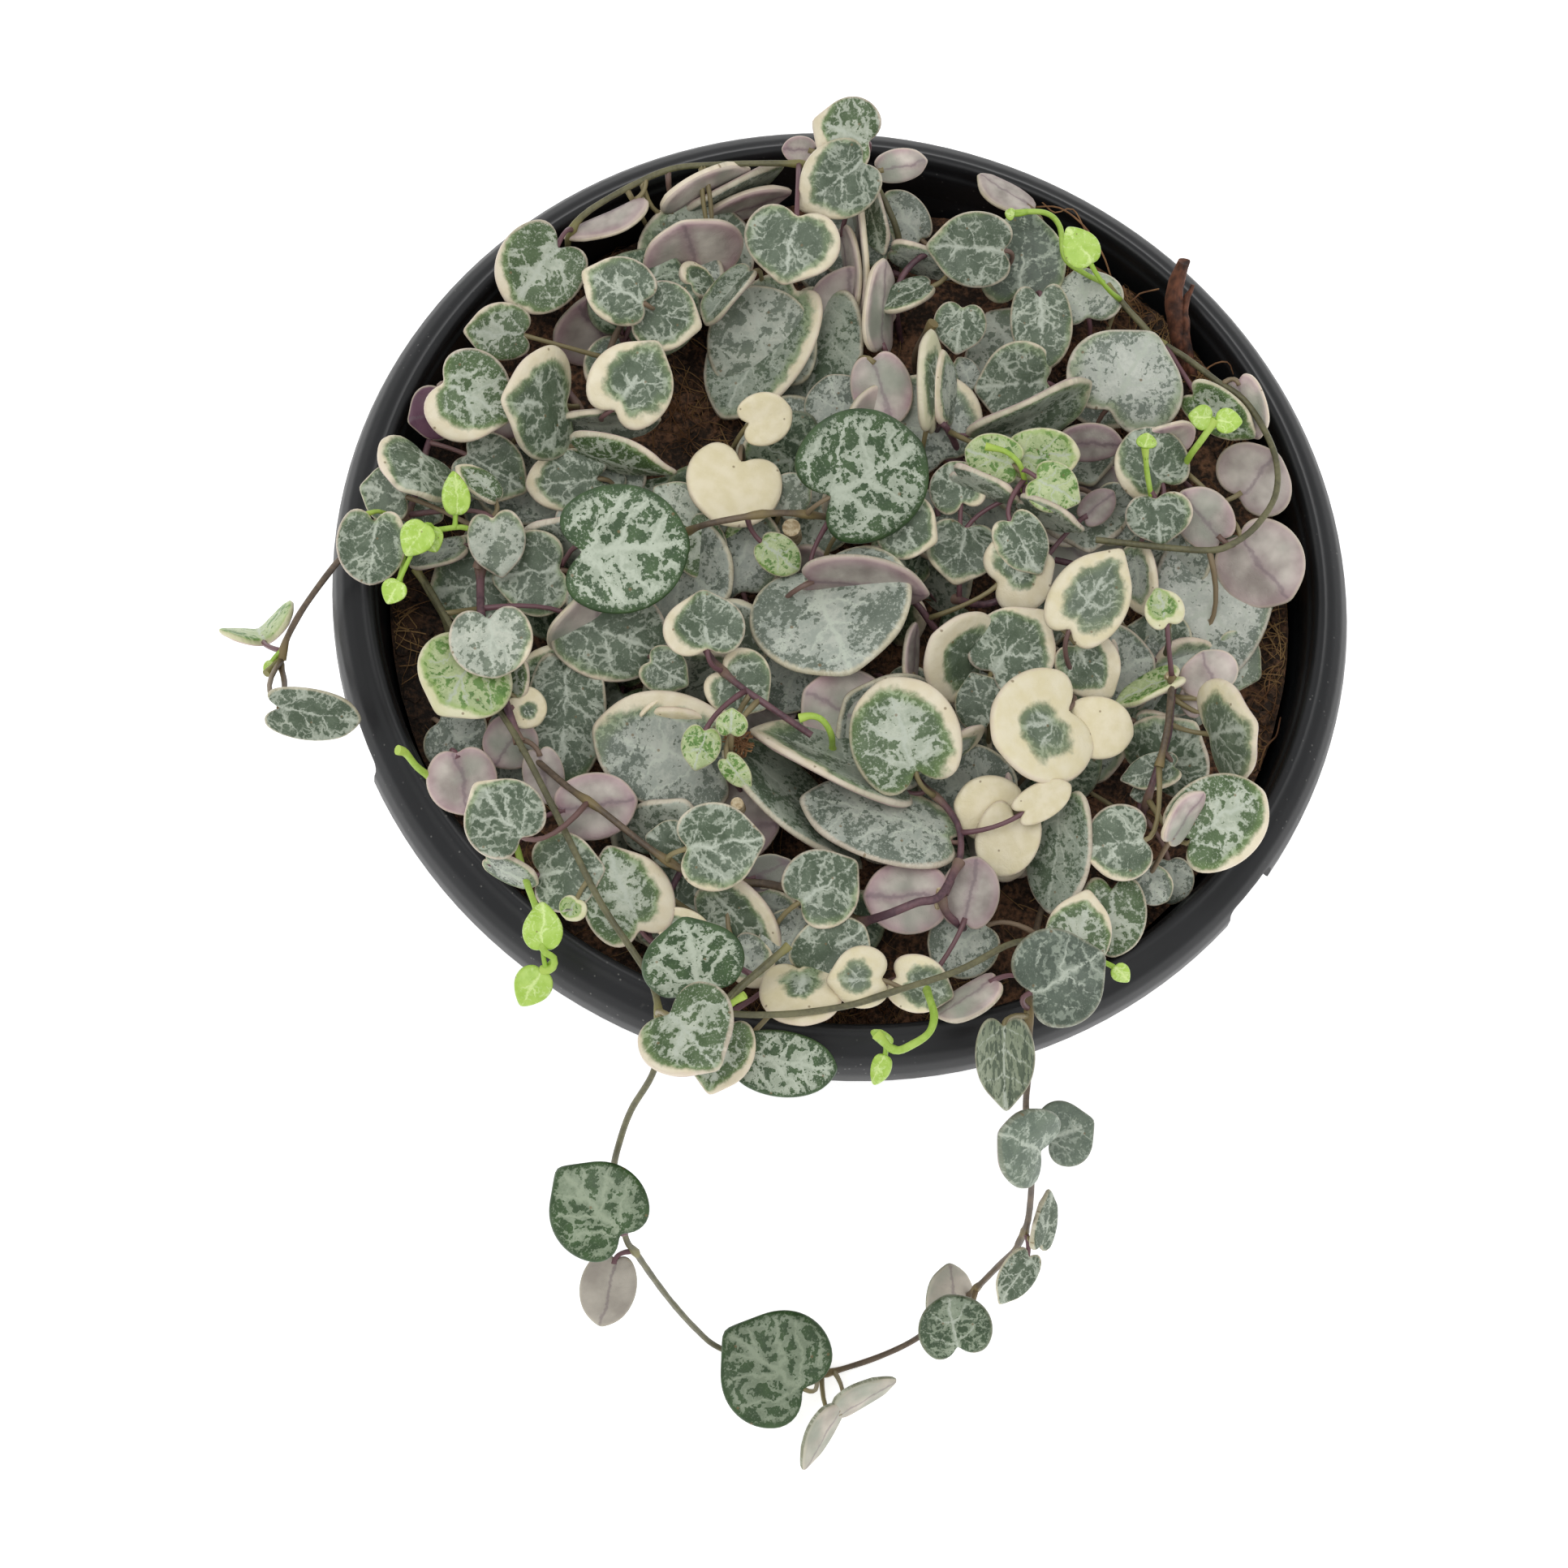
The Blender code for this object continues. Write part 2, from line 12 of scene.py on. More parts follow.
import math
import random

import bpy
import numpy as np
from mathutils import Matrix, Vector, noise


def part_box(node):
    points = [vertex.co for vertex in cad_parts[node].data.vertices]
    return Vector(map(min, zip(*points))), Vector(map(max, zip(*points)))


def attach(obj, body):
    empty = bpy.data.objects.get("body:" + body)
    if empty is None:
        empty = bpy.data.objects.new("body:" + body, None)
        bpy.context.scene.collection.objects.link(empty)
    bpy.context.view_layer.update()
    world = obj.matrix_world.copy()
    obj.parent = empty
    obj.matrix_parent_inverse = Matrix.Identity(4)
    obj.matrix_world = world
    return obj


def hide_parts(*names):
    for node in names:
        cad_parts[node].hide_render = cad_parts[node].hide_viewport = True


bl_info = {
    "name": "Potted string of hearts",
    "version": (1, 0),
    "blender": (4, 5, 0),
    "location": "View3D > Sidebar > Hearts",
    "description": "Fine leaves, stems, soil, pot and stage around the packed model",
    "category": "Add Mesh",
}

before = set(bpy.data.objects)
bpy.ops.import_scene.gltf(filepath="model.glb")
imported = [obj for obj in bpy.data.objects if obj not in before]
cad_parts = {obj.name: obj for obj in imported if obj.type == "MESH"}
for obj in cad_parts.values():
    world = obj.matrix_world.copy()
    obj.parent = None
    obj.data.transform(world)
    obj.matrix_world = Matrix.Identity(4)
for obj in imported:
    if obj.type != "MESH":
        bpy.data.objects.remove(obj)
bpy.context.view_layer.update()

MM = 0.001
BODY = "root"

# The pot: its height is read from the frame, and its other sizes are the model's own.
POT_LOW, POT_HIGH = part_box("pot")
POT_HEIGHT = round(POT_HIGH[2] - POT_LOW[2], 5)
SKIRT_RADIUS = 75.0 * MM
BASE_RADIUS = 46 * MM
BASE_CORNER = 1.5 * MM
WALL_TOP_RADIUS = 69.4 * MM
WALL_THICKNESS = 1.2 * MM
FLOOR_THICKNESS = 1.6 * MM
RIM_RADIUS = 70.6 * MM
RIM_WIDTH = 1.8 * MM
SHOULDER_RADIUS = 74.0 * MM
SKIRT_DROP = 9.0 * MM
SKIRT_THICKNESS = 1.1 * MM
NOTCH_ANGLES = (81.5, 201.5, 321.5)
NOTCH_WIDTH = 10 * MM
NOTCH_DEPTH_FROM_RIM = 4.2 * MM
NOTCH_INNER_RADIUS = 72.6 * MM
DRAIN_HOLES = 8
DRAIN_RADIUS = 3.0 * MM
DRAIN_CIRCLE = 34 * MM

# The soil.
SOIL_TOP = 88 * MM
SOIL_RADIUS = 66.6 * MM
CLEARANCE = 0.3 * MM

# The eye that sees the plan picture.
PICTURE_WIDTH = 1932.0
PICTURE_MIDDLE = 966.0
EYE_FOCAL = 4760.0
EYE_DISTANCE = 550 * MM
EYE_ELEVATION = math.radians(69.1)
EYE_TURN = math.radians(-12.75)
EYE_ROLL = math.radians(13.6)
EYE_AIM = Vector((-9.5 * MM, -33.8 * MM, POT_HEIGHT))
SENSOR_WIDTH = 36.0

# How a seen blade is read: its length over its width.
USUAL_ASPECT = 0.78
LEAST_ASPECT = 0.68
MOST_ASPECT = 0.95
ROLLED_ASPECT = 1.45

# Each long stem: its finish, then picture x, picture y and height in millimetres from root to end.
VINES = {
    "vine_front_left": ("olive", (
        (494, 690, 89.1), (512, 700, 96), (545, 752, 99), (600, 850, 102), (640, 915, 104.5),
        (690, 1012, 106), (740, 1112, 106.5), (800, 1205, 106), (812, 1262, 105.5), (806, 1318, 101),
        (778, 1367, 92), (764, 1405, 85), (756, 1443, 78), (762, 1485, 71), (772, 1528, 63),
        (783, 1543, 58), (806, 1576, 43), (829, 1606, 27), (857, 1637, 10), (885, 1660, 2.5),
        (940, 1680, 1.2), (1005, 1694, 1.2),
    )),
    "vine_front_right": ("brown", (
        (1296, 1085, 89.1), (1285, 1115, 95), (1275, 1155, 101), (1268, 1215, 104), (1268, 1262, 104),
        (1268, 1310, 99.5), (1264, 1362, 92.5), (1268, 1405, 87.5), (1271, 1440, 82), (1270, 1475, 74),
        (1265, 1510, 63), (1252, 1538, 52), (1228, 1562, 40), (1200, 1590, 26), (1165, 1620, 12),
        (1128, 1650, 3), (1082, 1672, 1.2), (1030, 1689, 1.2), (1012, 1693, 1.2),
    )),
    "vine_front_side": ("olive", (
        (1266, 1158, 104.3), (1238, 1166, 107), (1180, 1196, 108), (1100, 1222, 108.5), (1040, 1240, 108),
        (960, 1250, 109), (890, 1246, 109.5), (905, 1222, 109.5), (935, 1196, 110), (968, 1168, 110.5),
    )),
    "vine_left": ("brown", (
        (504, 655, 89.1), (486, 658, 97.5), (455, 664, 103), (428, 680, 104), (405, 706, 100.5),
        (372, 752, 95), (352, 790, 91), (347, 813, 89.5),
    )),
    "vine_right": ("olive", (
        (1362, 366, 88.5), (1378, 372, 97), (1400, 392, 103), (1425, 418, 104), (1460, 440, 105),
        (1500, 470, 106), (1532, 492, 106.5), (1558, 530, 107), (1573, 570, 108), (1571, 612, 109),
        (1546, 650, 109), (1515, 672, 108.5), (1490, 678, 108), (1440, 675, 107.5), (1350, 665, 107),
    )),
    "vine_back": ("olive", (
        (714, 352, 88.5), (702, 318, 97), (702, 290, 102), (728, 258, 103.5), (815, 212, 104.5),
        (880, 203, 105), (985, 202, 106), (1040, 212, 105), (1075, 230, 103),
    )),
    "vine_centre": ("purple", (
        (846, 720, 89.1), (858, 770, 99), (872, 805, 105), (905, 840, 107.5), (950, 872, 108.5),
        (1000, 906, 108),
    )),
    "vine_lower": ("brown", (
        (625, 915, 89.1), (650, 928, 99), (700, 970, 104), (740, 998, 105.5), (800, 1045, 105.5),
        (850, 1076, 105), (905, 1090, 104),
    )),
    "vine_arc": ("brown", (
        (838, 690, 89.1), (838, 665, 101), (858, 650, 108), (900, 640, 110), (960, 632, 110.5),
        (1022, 638, 107.5), (1045, 650, 98), (1050, 658, 89.1),
    )),
    "vine_right_lower": ("purple", (
        (1450, 800, 89.1), (1447, 842, 100), (1443, 870, 105), (1440, 905, 107), (1425, 950, 107),
        (1412, 990, 104), (1405, 1010, 97), (1402, 1020, 89.1),
    )),
    "vine_purple": ("purple", (
        (1112, 930, 89.1), (1122, 948, 99), (1140, 970, 104), (1165, 993, 105.5), (1182, 1022, 106.5),
        (1182, 1062, 107), (1165, 1102, 107),
    )),
    "vine_crown_left": ("purple", (
        (745, 560, 89.1), (725, 535, 94), (715, 505, 97.5), (690, 470, 98), (650, 440, 98),
        (610, 440, 98), (560, 480, 98.5), (530, 540, 98.5), (515, 600, 99), (500, 640, 100),
    )),
    "vine_crown_back": ("brown", (
        (900, 430, 89.1), (880, 400, 95), (840, 375, 99), (800, 375, 100.5), (770, 395, 99),
        (752, 430, 99), (745, 480, 100), (750, 515, 101),
    )),
    "vine_crown_top": ("purple", (
        (1110, 420, 89.1), (1105, 385, 96), (1112, 340, 100), (1150, 310, 101.5), (1200, 325, 101),
        (1245, 345, 100), (1290, 400, 99),
    )),
    "vine_crown_right": ("purple", (
        (1180, 760, 89.1), (1200, 800, 97), (1240, 840, 101), (1300, 858, 103), (1335, 830, 103.5),
        (1340, 790, 103), (1350, 740, 100), (1330, 700, 99), (1300, 690, 98),
    )),
    "vine_crown_front": ("purple", (
        (950, 1000, 89.1), (905, 1020, 97), (855, 1050, 100), (820, 1110, 101), (800, 1155, 101),
        (860, 1205, 102.5), (870, 1230, 102.5), (900, 1262, 103), (925, 1285, 102.5),
    )),
}

# Each short shoot or stub: its finish, radius in millimetres, and its route as above.
SHOOTS = {
    "shoot_back_lime": ("lime", 0.42, (
        (1240, 264, 107), (1262, 261, 108), (1290, 263, 108), (1306, 280, 107), (1312, 318, 106),
        (1338, 338, 105.5), (1365, 352, 103), (1378, 372, 98),
    )),
    "stem_back_link": ("olive", 0.45, (
        (1366, 352, 104), (1384, 374, 105.5), (1400, 393, 105), (1420, 414, 104.4), (1436, 426, 104.3),
    )),
    "shoot_left_lime": ("lime", 0.42, (
        (596, 662, 104), (572, 650, 108), (545, 652, 109.5), (520, 656, 109.5), (504, 652, 106),
    )),
    "shoot_rim_lime": ("lime", 0.3, ((482, 636, 105), (466, 630, 107.5), (450, 634, 108))),
    "shoot_small_lime": ("lime", 0.32, ((504, 655, 98), (498, 685, 104), (492, 716, 108.5))),
    "shoot_front_lime": ("lime", 0.5, (
        (628, 1010, 92), (637, 1045, 99), (650, 1090, 105), (662, 1125, 109), (668, 1168, 110.5),
        (682, 1180, 110), (681, 1192, 109), (668, 1196, 108),
    )),
    "shoot_edge_lime": ("lime", 0.5, (
        (534, 960, 101), (514, 945, 104), (500, 928, 106), (490, 924, 107),
    )),
    "shoot_curved_lime": ("lime", 0.55, (
        (1140, 1214, 104), (1146, 1232, 107), (1151, 1252, 109), (1145, 1272, 110), (1126, 1286, 110.5),
        (1102, 1294, 110.5), (1080, 1274, 110.5),
    )),
    "shoot_right_lime": ("lime", 0.4, (
        (1422, 640, 103), (1418, 610, 110), (1413, 580, 114), (1411, 552, 117),
    )),
    "shoot_edge_right": ("lime", 0.5, (
        (1452, 588, 103), (1466, 562, 110), (1482, 540, 113), (1497, 518, 114),
    )),
    "tendril_upper": ("lime", 0.4, (
        (1262, 606, 107), (1262, 590, 110), (1255, 570, 113), (1238, 556, 114), (1214, 550, 114),
    )),
    "tendril_middle": ("lime", 0.45, (
        (1026, 925, 103), (1024, 905, 109), (1014, 888, 112), (1000, 882, 112.5), (985, 885, 112),
    )),
    "shoot_side": ("olive", 0.45, (
        (893, 1242, 109), (915, 1215, 110), (945, 1190, 111), (972, 1165, 111.5),
    )),
    "shoot_side_lime": ("lime", 0.4, ((893, 1243, 109), (905, 1234, 110.5), (918, 1226, 111.5))),
    "shoot_grove": ("olive", 0.45, ((1434, 812, 95), (1440, 792, 102), (1438, 768, 111))),
    "stem_back_olive": ("olive", 0.5, (
        (1076, 222, 104), (1094, 256, 103), (1106, 288, 100), (1112, 330, 95), (1115, 360, 89),
    )),
    "stem_left_lime": ("olive", 0.5, ((512, 700, 98), (528, 728, 97), (548, 764, 94), (556, 800, 89))),
    "stem_left_purple": ("purple", 0.6, (
        (592, 700, 102), (592, 735, 104), (594, 762, 106), (604, 800, 106.5), (618, 850, 104),
        (640, 915, 103.5),
    )),
    "stem_left_rise": ("purple", 0.5, ((588, 700, 103), (596, 668, 105), (605, 640, 107.5))),
    "stem_right_cut": ("brown", 0.5, (
        (1444, 836, 106.5), (1442, 865, 109.5), (1438, 900, 110), (1428, 945, 109),
    )),
    "stem_mauve": ("purple", 0.6, (
        (1060, 1137, 104), (1095, 1126, 109), (1130, 1112, 110.5), (1158, 1104, 110.5),
        (1182, 1062, 108.5),
    )),
    "stem_mauve_low": ("purple", 0.55, (
        (1160, 1106, 108), (1166, 1124, 107), (1182, 1140, 104), (1192, 1146, 98),
    )),
    "stem_lower_long": ("brown", 0.6, (
        (905, 1088, 104.3), (950, 1090, 104), (1000, 1108, 102.5), (1040, 1126, 101), (1064, 1138, 100),
    )),
    "stem_pink_upper": ("purple", 0.5, (
        (1176, 800, 95), (1150, 772, 100), (1130, 745, 102), (1105, 728, 101),
    )),
    "stem_pink_right": ("purple", 0.55, (
        (1275, 706, 101), (1240, 735, 103), (1208, 745, 102), (1176, 738, 98),
    )),
    "stem_dark_upper": ("purple", 0.5, (
        (1190, 590, 92), (1176, 545, 100), (1160, 522, 103), (1150, 540, 96),
    )),
    "stem_back_cut": ("brown", 0.6, (
        (1132, 470, 92), (1128, 440, 98), (1142, 410, 105), (1150, 398, 107),
    )),
    "stem_far_left": ("brown", 0.42, (
        (345, 818, 89.3), (350, 838, 92), (350, 858, 96), (346, 872, 98.8),
    )),
    "stem_far_bud": ("olive", 0.4, ((343, 815, 89.5), (334, 824, 90.5), (328, 830, 91))),
    "trail_stub": ("brown", 0.42, (
        (1252, 1541, 51), (1254, 1532, 54.5), (1258, 1524, 57.5), (1262, 1518, 60),
    )),
}

# Cut ends of old stems: picture x, picture y, height and radius in millimetres.
CUT_STUBS = (
    (975, 650, 106, 1.35), (908, 990, 108, 0.95), (1158, 1097, 109.2, 0.55), (1442, 832, 107, 0.7),
)

# The node's own leaves: the stem, notch x and y, tip x and y, seen width, height in millimetres, look,
# the share of the blade that is cream, and the lean: up or down for the tip's side, left or right for
# the edge that is raised; under shows its back.
LEAVES = {
    "leaf_loop_end": ("vine_front_left", 990, 1712, 893, 1640, 150, 9, "deep", 0, "up"),
    "leaf_loop_left": ("vine_front_left", 765, 1522, 687, 1440, 124, 79.5, "deep", 0, "up"),
    "leaf_loop_left_under": ("vine_front_left", 758, 1550, 740, 1634, 70, 57, "beige", 0, "under"),
    "leaf_drop_left": ("vine_front_right", 1280, 1417, 1236, 1398, 102, 95, "misty", 0, "up"),
    "leaf_drop_right": ("vine_front_right", 1292, 1406, 1348, 1380, 84, 88.5, "misty", 0, "down"),
    "leaf_loop_folded": ("vine_front_right", 1038, 1740, 1050, 1752, 158, 9.5, "beige", 0, "up"),
    "leaf_loop_right": ("vine_front_right", 1180, 1660, 1166, 1596, 92, 29, "green", 0, "up"),
    "leaf_loop_small": ("vine_front_right", 1268, 1548, 1232, 1608, 44, 60, "veined", 0, "left"),
    "leaf_rim_hanging": ("vine_front_right", 1237, 1264, 1240, 1369, 74, 109.5, "streaked", 0, "left"),
    "leaf_rim_round": ("vine_front_right", 1272, 1224, 1362, 1175, 126, 110, "slate", 0, "up"),
    "leaf_left_far": ("vine_left", 345, 872, 444, 889, 64, 100.2, "veined", 0, "right"),
    "leaf_left_fold": ("vine_left", 325, 790, 316, 768, 98, 86, "fresh", 0.3, "down"),
    "leaf_rim_left_round": ("vine_left", 461, 642, 455, 721, 86, 109, "veined", 0.18, "up"),
    "leaf_front_kidney": ("vine_crown_front", 860, 1214, 841, 1130, 128, 110, "blotched", 0, "up"),
    "leaf_front_heart": ("vine_front_left", 825, 1250, 882, 1313, 130, 115.5, "mottled", 0.22, "up"),
    "leaf_front_back": ("vine_crown_front", 897, 1262, 874, 1349, 84, 107, "mottled", 0.3, "up"),
    "leaf_front_right": ("vine_crown_front", 926, 1302, 1032, 1318, 82, 103, "blotched", 0, "up"),
    "leaf_big_left": ("vine_arc", 716, 680, 850, 668, 160, 113, "blotched", 0, "up"),
    "leaf_big_middle": ("vine_arc", 1023, 612, 1138, 546, 165, 114, "blotched", 0, "up"),
    "leaf_pale_heart": ("vine_arc", 913, 570, 882, 640, 120, 105, "pale", 1, "up"),
    "leaf_grey_heart": ("vine_centre", 872, 800, 866, 726, 102, 111, "veined", 0.4, "up"),
    "leaf_centre_heart": ("vine_purple", 1129, 950, 1090, 835, 138, 111, "mottled", 0.46, "up"),
    "leaf_centre_veined": ("vine_lower", 846, 1045, 943, 1034, 110, 111, "veined", 0.15, "up"),
    "leaf_lower_left": ("vine_lower", 642, 1033, 584, 965, 104, 111, "veined", 0.18, "up"),
    "leaf_left_heart": ("vine_front_left", 602, 762, 611, 836, 104, 112.5, "silver", 0.12, "up"),
    "leaf_left_kidney": ("vine_front_left", 590, 806, 539, 881, 124, 108, "fresh", 0.35, "up"),
    "leaf_left_silver": ("vine_crown_left", 607, 638, 619, 712, 72, 108, "silver", 0.15, "up"),
    "leaf_pink_heart": ("vine_crown_left", 546, 471, 632, 515, 118, 109, "mottled", 0.4, "up"),
    "leaf_kidney_rim": ("vine_crown_left", 522, 562, 495, 600, 110, 106, "veined", 0.22, "up"),
    "leaf_pink_twin": ("vine_crown_left", 697, 499, 632, 494, 142, 104.5, "veined", 0.45, "up"),
    "leaf_rim_heart": ("vine_back", 688, 305, 628, 378, 110, 106, "mottled", 0.25, "up"),
    "leaf_cream_heart": ("vine_crown_back", 757, 506, 812, 420, 106, 109, "veined", 0.6, "up"),
    "leaf_pair_left": ("vine_crown_back", 793, 372, 716, 334, 84, 109.5, "veined", 0.35, "up"),
    "leaf_crown_heart": ("vine_back", 983, 266, 964, 351, 120, 111, "veined", 0.45, "up"),
    "leaf_top": ("vine_back", 1071, 175, 1001, 149, 96, 113, "mottled", 0.45, "up"),
    "leaf_back_round": ("vine_crown_top", 1237, 309, 1141, 303, 94, 107, "veined", 0.12, "up"),
    "leaf_back_small": ("vine_crown_top", 1281, 366, 1288, 456, 77, 106, "veined", 0.08, "up"),
    "leaf_cream_patch": ("vine_crown_right", 1316, 876, 1226, 915, 146, 112, "patch", 0.88, "up"),
    "leaf_cream_right": ("vine_crown_right", 1318, 776, 1383, 676, 98, 113, "patch", 0.68, "up"),
    "leaf_cream_middle": ("vine_crown_right", 1222, 828, 1290, 752, 108, 106, "veined", 0.35, "up"),
    "leaf_right_lower": ("vine_right_lower", 1466, 1034, 1559, 975, 116, 110, "mottled", 0.25, "up"),
}

